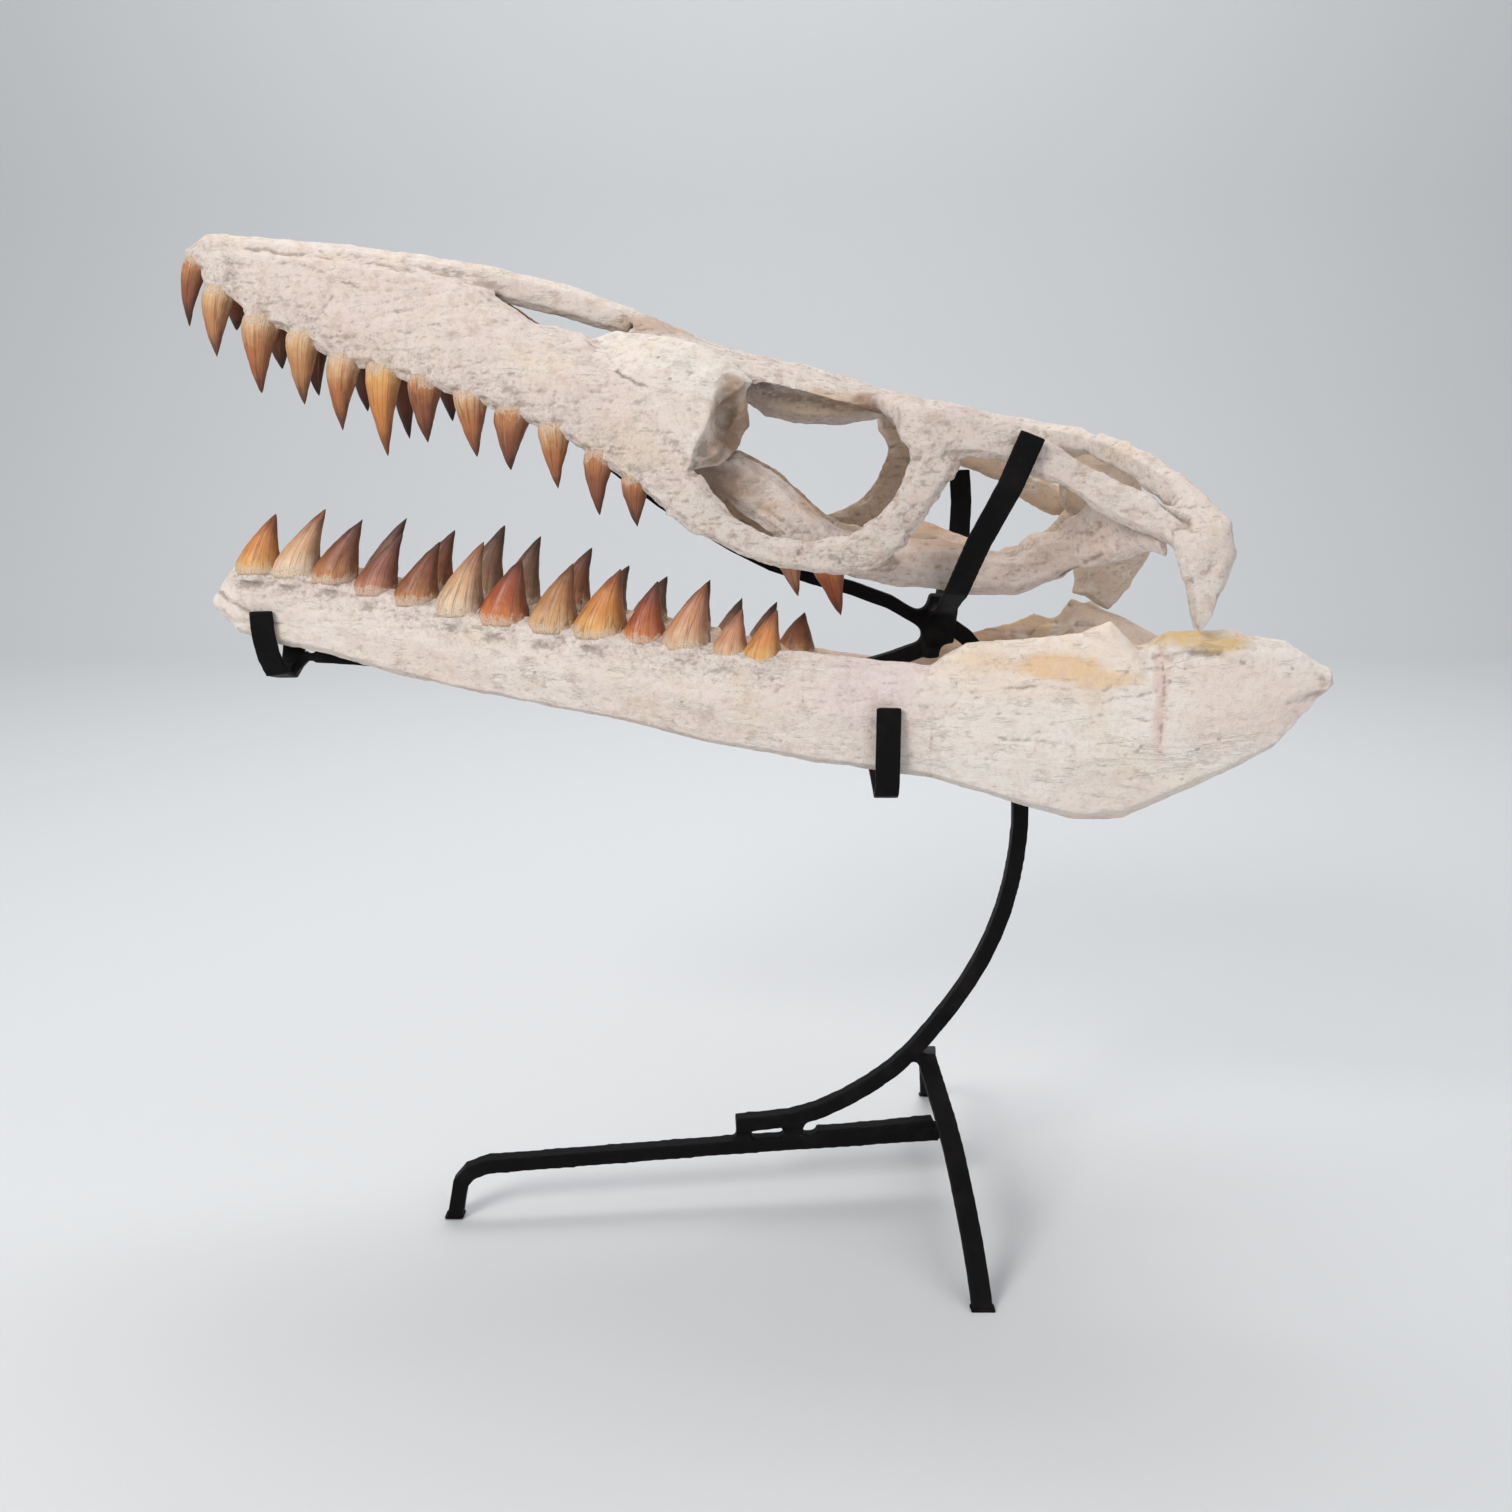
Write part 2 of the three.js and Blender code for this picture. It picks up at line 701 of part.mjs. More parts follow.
const coronoidTop = profile([
  [161, 538], [168, 549], [185, 554], [236, 559], [278, 565], [291, 574], [304, 570], [313, 552],
]);
const coronoidBottom = profile([[161, 530], [187, 507], [285, 504], [301, 528], [313, 543]]);

/** The coronoid: a saddle astride the upper edge of the rear jaw. */
function coronoid(side) {
  return plate({
    steps: 7,
    sides: 6,
    square: 2.6,
    rail: (t, s) => {
      const x = mix(161, 313, t);
      const low = coronoidBottom(x) - sag(x, side);
      const high = coronoidTop(x) - sag(x, side);
      return at(x, lowerHalfWidth(x) - 15 + 2 * s, mix(low, high, s), side);
    },
    thick: (t, s) => mix(38, 14, s),
  });
}

// ---- iron stand ----

const POST_LINE = [
  [180, 0, 552], [208, 0, 531], [235, 0, 487], [251, 0, 432], [257, 0, 372], [252.5, 0, 318], [241.5, 0, 272],
  [221, 0, 224], [190, 0, 176], [152, -4.5, 133], [105, -10, 102], [59, -15, 84], [-2, -21, 79],
];
const POST_CUTS = [0, 6, 14, 24]; // the bow is welded up from three lengths
const WELD_GAP = 1; // between two lengths, at the middle of the bar
const FOOT_REACH = 199; // of each leg, to either side
const LEG_WIDTH = 18;
const LEG_THICK = 7;

function postLengths() {
  const line = smooth(POST_LINE, POST_CUTS[3]);
  return [0, 1, 2].map((i) => {
    const part = line.slice(POST_CUTS[i], POST_CUTS[i + 1] + 1);
    const [first, second] = part;
    const step = new THREE.Vector3(...second).sub(new THREE.Vector3(...first)).setLength(WELD_GAP);
    part[0] = new THREE.Vector3(...first).add(step).toArray();
    return iron({ points: part, face: ACROSS });
  });
}

/** The lower bar: from under the arch to the front foot. */
function longBar() {
  return iron({
    points: [
      [190.3, 0, 60], [2, -21, 57.5], [-231, -48, 51.5], [-247, -50, 46], [-256, -51, 36], [-263, -51, 0],
    ],
    face: ACROSS,
    end: UP,
  });
}

/** One half of the arch: a flat bar that curves down from the post to a foot. */
function leg(side) {
  const line = smooth([
    [178, GAP / 2, 136], [183, 42, 122], [189.5, 90, 103], [196.5, 140, 68], [202, 174, 34], [206, FOOT_REACH, 0],
  ], 9);
  return iron({ points: line, side, wide: LEG_WIDTH, tall: LEG_THICK, face: LENGTHWISE, start: ACROSS, end: UP });
}

const crossBar = () => iron({
  points: [[196, -133, 63], [196, 133, 63]],
  wide: 10,
  tall: 10,
});

/** A flat strip laid on the lower bar, rising a little towards the arch. */
const strip = () => iron({
  points: [[74, -13, 67.8], [130, -7, 69.5], [185.5, -1, 73]],
  wide: BAR_SIZE,
  tall: 4,
});

const strutFront = () => iron({ points: [[5, -20, 65], [5, -20, 75]], wide: 10, tall: 14, face: ACROSS });
const strutBack = () => iron({ points: [[50, -15.5, 65], [56, -15, 80]], wide: 12, tall: 16, face: ACROSS });

/** The welded block under the skull from which the arms spread. */
const hub = () => iron({ points: [[178, 0, 532], [182, 0, 574]], wide: 22, tall: 27, face: ACROSS });

function bolt() {
  const head = new THREE.CylinderGeometry(8.5, 8.5, 11, 6);
  head.rotateX(Math.PI / 2);
  head.rotateZ(-0.5);
  head.translate(170, -16.8, 526);
  return solidOf(head);
}

/** A bar between the two rami, from the hub to the front hook. */
const spine = () => iron({
  points: [[166, 0, 527], [140, 0, 517], [100, 0, 505], [0, 0, 500], [-200, 0, 510], [-372, 0, 521]],
  face: ACROSS,
});

/** The loop of flat iron that holds both jaw tips. */
function frontHook() {
  const drop = [[-409, -30.5, 563], [-408, -30.5, 541], [-405, -29, 523], [-402, -21, 508]];
  const rise = [[-400, 0, 502], [-400, 19, 508], [-401, 29, 523], [-401, 33, 543]];
  return iron({ points: [...drop, ...rise], wide: STRAP_WIDTH, tall: STRAP_THICK, face: LENGTHWISE });
}

const hookTie = () => iron({ points: [[-379, 0, 521], [-394, 0, 506]], wide: 12, tall: 8, face: ACROSS });

const CRADLE_X = 122;
const DROP_END = 425; // lower end of the bar that the straps join

/** Arm and half of the strap that carries one ramus from below. */
function cradle(side) {
  const z = 428 - lowerSag(CRADLE_X, side);
  const out = lowerHalfWidth(CRADLE_X) + STRAP_THICK / 2 + 1.5;
  return iron({
    points: [
      [CRADLE_X, out, 502 - lowerSag(CRADLE_X, side)], [CRADLE_X, out, z + 12], [CRADLE_X, out - 5, z + 3],
      [CRADLE_X, out - 12, z], [CRADLE_X, out - 44, z + 5], [CRADLE_X, 7.6, DROP_END + (side === LEFT ? 22 : 8)],
    ],
    side,
    wide: STRAP_WIDTH,
    tall: STRAP_THICK,
    face: LENGTHWISE,
  });
}

const drop = () => iron({ points: [[CRADLE_X, 0, 503], [CRADLE_X, 0, DROP_END]], face: ACROSS });

/** Arms of flat iron that clip over the palate and the arch behind the eye. */
const clipLeft = () => iron({
  points: [[178, -13.4, 560], [178, -50, 567], [181, -88, 586], [192.5, -126, 630], [211, -151, 674],
    [226, -156, 713]],
  wide: STRAP_WIDTH,
  tall: STRAP_THICK,
  face: LENGTHWISE,
});
const clipRight = () => iron({
  points: [[184, 13.4, 564], [192, 60, 572], [204, 104, 590], [212, 132, 616], [215, 147, 646],
    [213, 152, 676]],
  wide: STRAP_WIDTH,
  tall: STRAP_THICK,
  face: LENGTHWISE,
});

/** The long arm under the palate. */
const palateArm = () => iron({
  points: smooth([[166, 0, 549], [144, 0, 563], [106, 0, 578], [60, 0, 591], [20, 0, 605], [-14, 0, 624],
    [-60, 0, 652], [-122, 0, 698]], 9),
  wide: ROD_SIZE,
  tall: ROD_SIZE,
  face: ACROSS,
});

// ---- assembly ----

const skull = new THREE.Group();

function show(name, solid, look) {
  const mesh = new THREE.Mesh(geometryOf(solid), new THREE.MeshStandardMaterial(look));
  mesh.geometry.computeVertexNormals();
  mesh.name = name;
  skull.add(mesh);
}

const sideName = (side) => (side === LEFT ? 'left' : 'right');

const snout = premaxilla();
const forehead = frontal();
const crown = clear(parietal(), forehead);
const braincaseBone = clear(braincase(), crown);

show('premaxilla', snout, BONE);
show('frontal', clear(forehead, snout), DARK_BONE);
show('parietal', crown, BONE);
show('braincase', braincaseBone, DARK_BONE);

const palatePlates = [];
for (const side of [LEFT, RIGHT]) {
  const cheekbone = jugal(side);
  const wholeBrow = prefrontal(side);
  const brow = clear(wholeBrow, forehead, snout, cheekbone);
  const cheek = clear(maxilla(side), snout, wholeBrow, cheekbone);
  const orbitBack = clear(postorbital(side), forehead, crown, cheekbone);
  const templeBar = clear(squamosal(side), orbitBack);
  const templeArch = clear(supratemporal(side), crown, templeBar, braincaseBone);
  const hinge = clear(quadrate(side), templeBar, templeArch);
  const innerBar = clear(pterygoid(side), hinge, templeBar, braincaseBone, brow);
  const link = clear(ectopterygoid(side), innerBar, cheekbone);
  const innerPlate = clear(palatine(side), innerBar, cheek, brow);
  const saddle = coronoid(side);
  const frontJaw = clear(dentary(side), saddle);
  const rearJaw = clear(surangular(side), saddle, hinge);
  palatePlates.push(innerPlate);
  const bones = [
    ['maxilla', cheek, BONE],
    ['prefrontal', brow, PALE_BONE],
    ['jugal', cheekbone, PALE_BONE],
    ['postorbital', orbitBack, BONE],
    ['squamosal', templeBar, BONE],
    ['supratemporal', templeArch, BONE],
    ['quadrate', hinge, PALE_BONE],
    ['pterygoid', innerBar, BONE],
    ['ectopterygoid', link, BONE],
    ['palatine', innerPlate, DARK_BONE],
    ['dentary', frontJaw, BONE],
    ['coronoid', saddle, PALE_BONE],
    ['surangular', rearJaw, BONE],
  ];
  for (const [name, solid, look] of bones) show(`${name}_${sideName(side)}`, solid, look);
}
show('palate', clear(palate(), snout, ...palatePlates), DARK_BONE);

const [postTop, postMiddle, postFoot] = postLengths();
const block = clear(hub(), postTop);
const foreBar = longBar();
const backbone = clear(spine(), block);
show('stand_post_top', postTop, IRON);
show('stand_post_middle', postMiddle, IRON);
show('stand_post_foot', postFoot, IRON);
show('stand_hub', block, IRON);
show('stand_bolt', clear(bolt(), block, backbone), IRON);
show('stand_long_bar', foreBar, IRON);
show('stand_cross_bar', clear(crossBar(), foreBar), IRON);
show('stand_strip', strip(), IRON);
show('stand_strut_front', clear(strutFront(), foreBar, postFoot), IRON);
show('stand_strut_back', clear(strutBack(), foreBar, postFoot), IRON);
show('stand_leg_left', clear(leg(LEFT), postMiddle, postFoot), IRON);
show('stand_leg_right', clear(leg(RIGHT), postMiddle, postFoot), IRON);
show('stand_spine', backbone, IRON);
show('stand_front_hook', frontHook(), IRON);
show('stand_hook_tie', clear(hookTie(), backbone, frontHook()), IRON);
show('stand_drop', clear(drop(), backbone), IRON);
show('stand_cradle_left', cradle(LEFT), IRON);
show('stand_cradle_right', cradle(RIGHT), IRON);
show('stand_clip_left', clear(clipLeft(), block), IRON);
show('stand_clip_right', clear(clipRight(), block), IRON);
show('stand_palate_arm', clear(palateArm(), block), IRON);

export default skull;
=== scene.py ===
"""Looks of a fossil sea lizard's skull on a black iron stand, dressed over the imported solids."""

import sys
import logging
import math
from dataclasses import dataclass, field
from enum import Enum
from typing import Callable, Iterable, Sequence

import bmesh
import bpy
import numpy as np
from mathutils import Matrix, Vector, noise
from mathutils.bvhtree import BVHTree
from mathutils.kdtree import KDTree


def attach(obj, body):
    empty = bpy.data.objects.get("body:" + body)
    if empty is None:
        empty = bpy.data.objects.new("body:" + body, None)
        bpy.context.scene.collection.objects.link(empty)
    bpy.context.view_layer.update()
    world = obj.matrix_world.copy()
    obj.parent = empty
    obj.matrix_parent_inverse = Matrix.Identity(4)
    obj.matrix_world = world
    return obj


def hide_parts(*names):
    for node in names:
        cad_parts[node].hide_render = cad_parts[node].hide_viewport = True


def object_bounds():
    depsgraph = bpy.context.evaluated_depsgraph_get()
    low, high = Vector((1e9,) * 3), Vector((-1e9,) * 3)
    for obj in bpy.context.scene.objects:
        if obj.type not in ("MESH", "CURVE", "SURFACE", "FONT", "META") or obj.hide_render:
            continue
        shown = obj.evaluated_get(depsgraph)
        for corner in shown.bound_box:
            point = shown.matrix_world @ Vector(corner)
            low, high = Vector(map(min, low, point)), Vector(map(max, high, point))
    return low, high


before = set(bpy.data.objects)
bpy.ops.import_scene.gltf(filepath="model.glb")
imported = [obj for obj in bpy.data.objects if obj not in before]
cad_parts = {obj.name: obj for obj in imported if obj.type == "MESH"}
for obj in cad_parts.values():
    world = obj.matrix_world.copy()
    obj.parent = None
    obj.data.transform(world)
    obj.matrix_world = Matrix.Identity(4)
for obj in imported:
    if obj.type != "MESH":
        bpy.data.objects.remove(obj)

log = logging.getLogger("skull")

MM = 0.001
WELD = 0.004 * MM  # corners nearer than this are one corner
Colour = tuple[float, float, float]
CAD_LOW, CAD_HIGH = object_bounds()


# ---- shader building ----


class Sock:
    """A shader socket that takes part in Python expressions."""

    def __init__(self, shader: "Shader", socket: bpy.types.NodeSocket) -> None:
        """Keeps an output socket and the shader that owns it."""
        self.shader = shader
        self.socket = socket

    def _maths(self, operation: str, first: "Value", second: "Value") -> "Sock":
        """Adds one Math node, and gives its result."""
        return self.shader.node("ShaderNodeMath", {"operation": operation}, {0: first, 1: second})

    def axis(self, name: str) -> "Sock":
        """One axis, X, Y or Z, of a vector."""
        return self.shader.node("ShaderNodeSeparateXYZ", {}, {0: self}, name)

    def __add__(self, other: "Value") -> "Sock":
        """Adds."""
        return self._maths("ADD", self, other)

    __radd__ = __add__

    def __sub__(self, other: "Value") -> "Sock":
        """Subtracts other."""
        return self._maths("SUBTRACT", self, other)

    def __rsub__(self, other: "Value") -> "Sock":
        """Is subtracted from other."""
        return self._maths("SUBTRACT", other, self)

    def __mul__(self, other: "Value") -> "Sock":
        """Multiplies."""
        return self._maths("MULTIPLY", self, other)

    __rmul__ = __mul__

    def step(self, low: float, high: float) -> "Sock":
        """Turns smoothly from 0 at low to 1 at high; low may be the larger.

        Args:
            low: Where the result is 0.
            high: Where the result is 1.

        Returns:
            The smooth step.
        """
        settings = {"interpolation_type": "SMOOTHSTEP"}
        if low < high:
            inputs = {"Value": self, "From Min": low, "From Max": high}
            return self.shader.node("ShaderNodeMapRange", settings, inputs)
        inputs = {"Value": self, "From Min": high, "From Max": low}
        return 1.0 - self.shader.node("ShaderNodeMapRange", settings, inputs)


Value = Sock | float | tuple


class Shader:
    """A material under construction, with one Principled surface."""

    MIX_FIRST, MIX_SECOND, MIX_RESULT = 6, 7, 2  # the Mix node's sockets for colours

    def __init__(self, name: str) -> None:
        """Makes the material of that name and its surface node."""
        self.material = bpy.data.materials.new(name)
        self.material.use_nodes = True
        self.tree = self.material.node_tree
        self.tree.nodes.clear()
        self.surface = self.tree.nodes.new("ShaderNodeBsdfPrincipled")
        output = self.tree.nodes.new("ShaderNodeOutputMaterial")
        self.tree.links.new(self.surface.outputs["BSDF"], output.inputs["Surface"])
        self.place = self.node("ShaderNodeTexCoord", {}, {}, "Object")

    def node(self, kind: str, settings: dict, inputs: dict, out: int | str = 0) -> Sock:
        """Makes any node.

        Args:
            kind: The node's type name.
            settings: Properties that are set first.
            inputs: Values or sockets for its inputs, by name or index.
            out: The output wanted.

        Returns:
            That output.
        """
        made = self.tree.nodes.new(kind)
        for key, value in settings.items():
            setattr(made, key, value)
        for key, value in inputs.items():
            self.feed(made.inputs[key], value)
        return Sock(self, made.outputs[out])

    def feed(self, socket: bpy.types.NodeSocket, value: Value) -> None:
        """Links or sets one input.

        Args:
            socket: The input socket.
            value: A socket to link, or a value to set.
        """
        if isinstance(value, Sock):
            self.tree.links.new(value.socket, socket)
        elif isinstance(value, tuple) and len(value) == 3 and len(socket.default_value) == 4:
            socket.default_value = (*value, 1.0)
        else:
            socket.default_value = value

    def stretched(self, along: float, across: float, turn: float = 0.0) -> Sock:
        """Object coordinates squeezed along X, so that a pattern runs in long strands.

        Args:
            along: Scale along X.
            across: Scale along Y and Z.
            turn: Turn of the pattern about Y, in degrees.

        Returns:
            The coordinates.
        """
        inputs = {
            "Vector": self.place,
            "Rotation": (0.0, math.radians(turn), 0.0),
            "Scale": (along, across, across),
        }
        return self.node("ShaderNodeMapping", {}, inputs)

    def cloud(
        self, scale: float, detail: float = 4.0, rough: float = 0.55, where: Sock | None = None
    ) -> Sock:
        """Soft noise from 0 to 1.

        Args:
            scale: Size of the noise in turns per metre.
            detail: Number of finer layers.
            rough: Strength of the finer layers.
            where: Coordinates, or the object's own.

        Returns:
            The noise value.
        """
        place = where or self.place
        inputs = {"Vector": place, "Scale": scale, "Detail": detail, "Roughness": rough}
        return self.node("ShaderNodeTexNoise", {}, inputs, "Fac")

    def warped(self, scale: float, amount: float, where: Sock | None = None) -> Sock:
        """Coordinates that wander, for lines that don't run straight.

        Args:
            scale: Size of the wander in turns per metre.
            amount: How far it goes.
            where: Coordinates to bend, or the object's own.

        Returns:
            The bent coordinates.
        """
        base = where or self.place
        inputs = {"Vector": base, "Scale": scale, "Detail": 3.0}
        drift = self.node("ShaderNodeTexNoise", {}, inputs, "Color")
        inputs = {"Vector": drift, "Scale": amount}
        offset = self.node("ShaderNodeVectorMath", {"operation": "SCALE"}, inputs)
        return self.node("ShaderNodeVectorMath", {"operation": "ADD"}, {0: base, 1: offset})

    def cells(self, scale: float, where: Sock, feature: str = "F1") -> Sock:
        """The distance that a Voronoi feature measures, with scale in cells per metre."""
        inputs = {"Vector": where, "Scale": scale}
        return self.node("ShaderNodeTexVoronoi", {"feature": feature}, inputs, "Distance")

    def mix(self, factor: Value, first: Value, second: Value) -> Sock:
        """Mixes two colours; a factor of 1 gives the second."""
        inputs = {0: factor, self.MIX_FIRST: first, self.MIX_SECOND: second}
        return self.node("ShaderNodeMix", {"data_type": "RGBA"}, inputs, self.MIX_RESULT)

    def layered(self, ground: Value, *layers: tuple[Value, Value]) -> Sock:
        """Lays colours over one another.

        Args:
            ground: The lowest colour.
            *layers: How far each next one covers, from 0 to 1, and its colour.

        Returns:
            The mixed colour.
        """
        for cover, colour in layers:
            ground = self.mix(cover, ground, colour)
        return ground

    def stored(self, name: str, out: str = "Fac") -> Sock:
        """A value that the mesh carries; out is Color, Vector or Fac."""
        return self.node("ShaderNodeAttribute", {"attribute_name": name}, {}, out)

    def close(
        self, colour: Value, rough: Value, height: Sock, depth: float, **fixed: float
    ) -> bpy.types.Material:
        """Feeds the surface and ends the material.

        Args:
            colour: Base colour.
            rough: Roughness.
            height: Height of the relief, in units of depth.
            depth: What a height of 1 is, in metres.
            **fixed: Values for other inputs of the surface, with _ for a space.

        Returns:
            The finished material.
        """
        inputs = {"Height": height, "Distance": depth, "Strength": 1.0}
        relief = self.node("ShaderNodeBump", {}, inputs, "Normal")
        self.feed(self.surface.inputs["Base Color"], colour)
        self.feed(self.surface.inputs["Roughness"], rough)
        self.feed(self.surface.inputs["Normal"], relief)
        for key, value in fixed.items():
            self.surface.inputs[key.replace("_", " ")].default_value = value
        return self.material


def paint(red: int, green: int, blue: int) -> Colour:
    """A colour as a painter's chart gives it, made linear.

    Args:
        red: Red from 0 to 255.
        green: Green from 0 to 255.
        blue: Blue from 0 to 255.

    Returns:
        The linear colour.
    """
    parts = [channel / 255 for channel in (red, green, blue)]
    linear = [c / 12.92 if c <= 0.04045 else ((c + 0.055) / 1.055) ** 2.4 for c in parts]
    return (linear[0], linear[1], linear[2])


class Tone(Enum):
    """Ground colours of the bones; the darker SAND, CLAY and UMBER also serve as painted shade on
    the far side and inside the mouth.
    """

    CHALK = paint(227, 215, 206)
    PINK = paint(225, 210, 201)
    PLASTER = paint(228, 219, 210)
    STRAW = paint(229, 214, 200)
    SAND = paint(208, 182, 156)
    CLAY = paint(182, 150, 124)
    UMBER = paint(160, 122, 92)


class Enamel(Enum):
    """Colours of the tooth crowns: foot, middle and tip."""

    AMBER = (paint(212, 164, 102), paint(198, 128, 70), paint(128, 72, 44))
    CREAM = (paint(218, 192, 164), paint(200, 156, 120), paint(136, 84, 62))
    UMBER = (paint(178, 122, 82), paint(136, 82, 56), paint(78, 46, 36))
    MAROON = (paint(180, 122, 98), paint(136, 82, 66), paint(88, 52, 46))
    HONEY = (paint(206, 166, 126), paint(168, 106, 66), paint(104, 60, 42))
    RUST = (paint(196, 120, 72), paint(158, 80, 48), paint(92, 50, 38))
    TAN = (paint(206, 166, 122), paint(178, 126, 84), paint(106, 66, 46))
    # painted shade: GREY and DARK are darker crowns for the far side's teeth
    GREY = (paint(168, 134, 106), paint(126, 90, 68), paint(66, 46, 38))
    DARK = (paint(132, 70, 38), paint(100, 50, 28), paint(52, 28, 20))
    PEACH = (paint(204, 166, 132), paint(192, 136, 102), paint(136, 84, 62))


# ---- finishes ----


@dataclass(frozen=True)
class BoneFinish:
    """Chalky fossil bone with grain, growth lines, pits and stains.

    The mesh carries tint (ground colour, with painted shade on the far side, inside the mouth and
    in a few stained spots), stained (how far a stain covers it), hollow (how deep a spot lies,
    which the material paints darker as shade), gum (nearness to the tooth row), seam (a joint
    between bones) and rugged (how coarse the bone is).
    """

    name: str = "fossil_bone"
    # dark colour of cracks, growth lines and joints, also used as painted shade in the hollows
    crack: Colour = paint(136, 118, 106)
    pit: Colour = paint(112, 96, 86)
    shade: Colour = paint(184, 168, 156)
    speck: Colour = paint(158, 136, 120)
    clay: Colour = paint(206, 180, 166)
    blush: Colour = paint(217, 197, 188)
    chalk: Colour = paint(229, 220, 210)
    straw: Colour = paint(222, 204, 176)
    gum: Colour = paint(170, 158, 148)
    relief: float = 3.3 * MM

    def material(self) -> bpy.types.Material:
        """Builds the material."""
        sh = Shader(self.name)
        broad = sh.cloud(13, 3)
        warm = sh.cloud(19, 4, 0.6, sh.warped(6, 0.05))
        patch = sh.cloud(44, 5, 0.6)
        lumps = sh.cloud(85, 4, 0.6)
        mottle = sh.cloud(190, 6, 0.7)
        grain = sh.cloud(520, 4, 0.75)
        sand = sh.cloud(1200, 3, 0.7)
        growth = sh.cloud(1.0, 4, 0.6, sh.warped(4, 0.6, sh.stretched(9, 62, 7)))
        strands = sh.cloud(1.0, 5, 0.6, sh.stretched(70, 210, 9))
        line = growth.step(0.526, 0.512) * growth.step(0.482, 0.498) * patch.step(0.44, 0.60)
        holes = sh.cells(95, sh.warped(60, 0.006))
        pits = holes.step(0.20, 0.09) * patch.step(0.54, 0.66)
        hollow = sh.stored("hollow")
        gum = sh.stored("gum")
        seam = sh.stored("seam")
        rugged = sh.stored("rugged")
        clean = 1.0 - 0.8 * sh.stored("stained")

        colour = sh.layered(
            sh.stored("tint", "Color"),
            (broad.step(0.46, 0.64) * (0.34 * clean), self.blush),
            (warm.step(0.52, 0.66) * (0.34 * clean), self.straw),
            (patch.step(0.50, 0.68) * (0.55 * clean), self.chalk),
            (lumps.step(0.50, 0.66) * (0.30 * rugged), self.clay),
            (lumps.step(0.54, 0.74) * 0.20, self.shade),
            (strands.step(0.54, 0.72) * 0.16, self.shade),
            (mottle.step(0.50, 0.72) * (0.26 * rugged), self.shade),
            (grain.step(0.52, 0.66) * (mottle.step(0.40, 0.66) * (0.34 * rugged)), self.speck),
            (gum * (mottle.step(0.42, 0.62) * 0.42), self.gum),
            (gum * (grain.step(0.52, 0.66) * 0.45), self.crack),
            # painted shade: the deeper a spot lies, the darker it is painted
            (hollow.step(0.10, 1.0) * 0.50, self.crack),
            (line * 0.16, self.crack),
            (pits * 0.45, self.pit),
            (seam * (0.10 + 0.8 * mottle), self.crack),
        )
        height = 0.30 * lumps + (0.36 * mottle + 0.26 * grain) * rugged + 0.12 * strands
        height = height + 0.08 * sand + 0.30 * patch - 0.10 * line - 0.30 * pits - 0.30 * seam
        height = height + 0.35 * (gum * mottle)
        rough = 0.82 + 0.12 * sand
        return sh.close(colour, rough, height, self.relief, Specular_IOR_Level=0.25)


@dataclass(frozen=True)
class CrownFinish:
    """Polished fossil enamel over a rough cement foot.

    The mesh carries foot, body and tip (the crown's three colours), rise (0 at the gum to 1 at the
    tip) and wrap (coordinates that follow the crown, for its fine ridges and for the painted shade
    on its rear side).
    """

    name: str = "fossil_enamel"
    cement: Colour = paint(205, 186, 166)
    chip: Colour = paint(216, 188, 148)
    # dark colour of ridges, flaws and cement specks, also used as painted shade on each crown's
    # rear side
    dark_marks_and_rear_shade: Colour = paint(72, 44, 34)
    relief: float = 0.6 * MM

    def material(self) -> bpy.types.Material:
        """Builds the material."""
        sh = Shader(self.name)
        wrap = sh.stored("wrap", "Vector")
        rise = sh.stored("rise")
        ridges = sh.cloud(4.2, 3, 0.6, wrap)
        streak = sh.cloud(1.3, 5, 0.65, wrap)
        blotch = sh.cloud(110, 4, 0.65)
        sand = sh.cloud(800, 4, 0.7)
        # painted shade: each crown's rear side, away from the light, is darkened
        rear = wrap.axis("X").step(0.9, 2.3)
        flaw = sh.cells(1.0, sh.warped(2.0, 0.6, wrap), "DISTANCE_TO_EDGE").step(0.035, 0.008)
        level = rise + 0.42 * (streak - 0.5) + 0.40 * (blotch - 0.5)
        crust = rise + 0.50 * (blotch - 0.5) + 0.34 * (streak - 0.5) + 0.16 * (sand - 0.5)
        cement = crust.step(0.19, 0.08)
        colour = sh.layered(
            sh.stored("foot", "Color"),
            (level.step(0.10, 0.48), sh.stored("body", "Color")),
            (level.step(0.50, 0.96), sh.stored("tip", "Color")),
            (streak.step(0.54, 0.74) * 0.24, self.chip),
            # painted shade on the crown's rear side
            (rear * (0.20 + 0.55 * blotch), self.dark_marks_and_rear_shade),
            (ridges.step(0.52, 0.70) * 0.24, self.dark_marks_and_rear_shade),
            (flaw * 0.40, self.dark_marks_and_rear_shade),
            (cement * (0.45 + 0.5 * blotch), self.cement),
            (cement * (sand.step(0.50, 0.66) * 0.6), self.dark_marks_and_rear_shade),
        )
        rough = 0.28 + 0.20 * blotch + 0.45 * cement
        height = 0.50 * ridges + 0.30 * streak - 0.30 * flaw + 0.50 * (cement * sand)
        return sh.close(colour, rough, height, self.relief, Specular_IOR_Level=0.32)


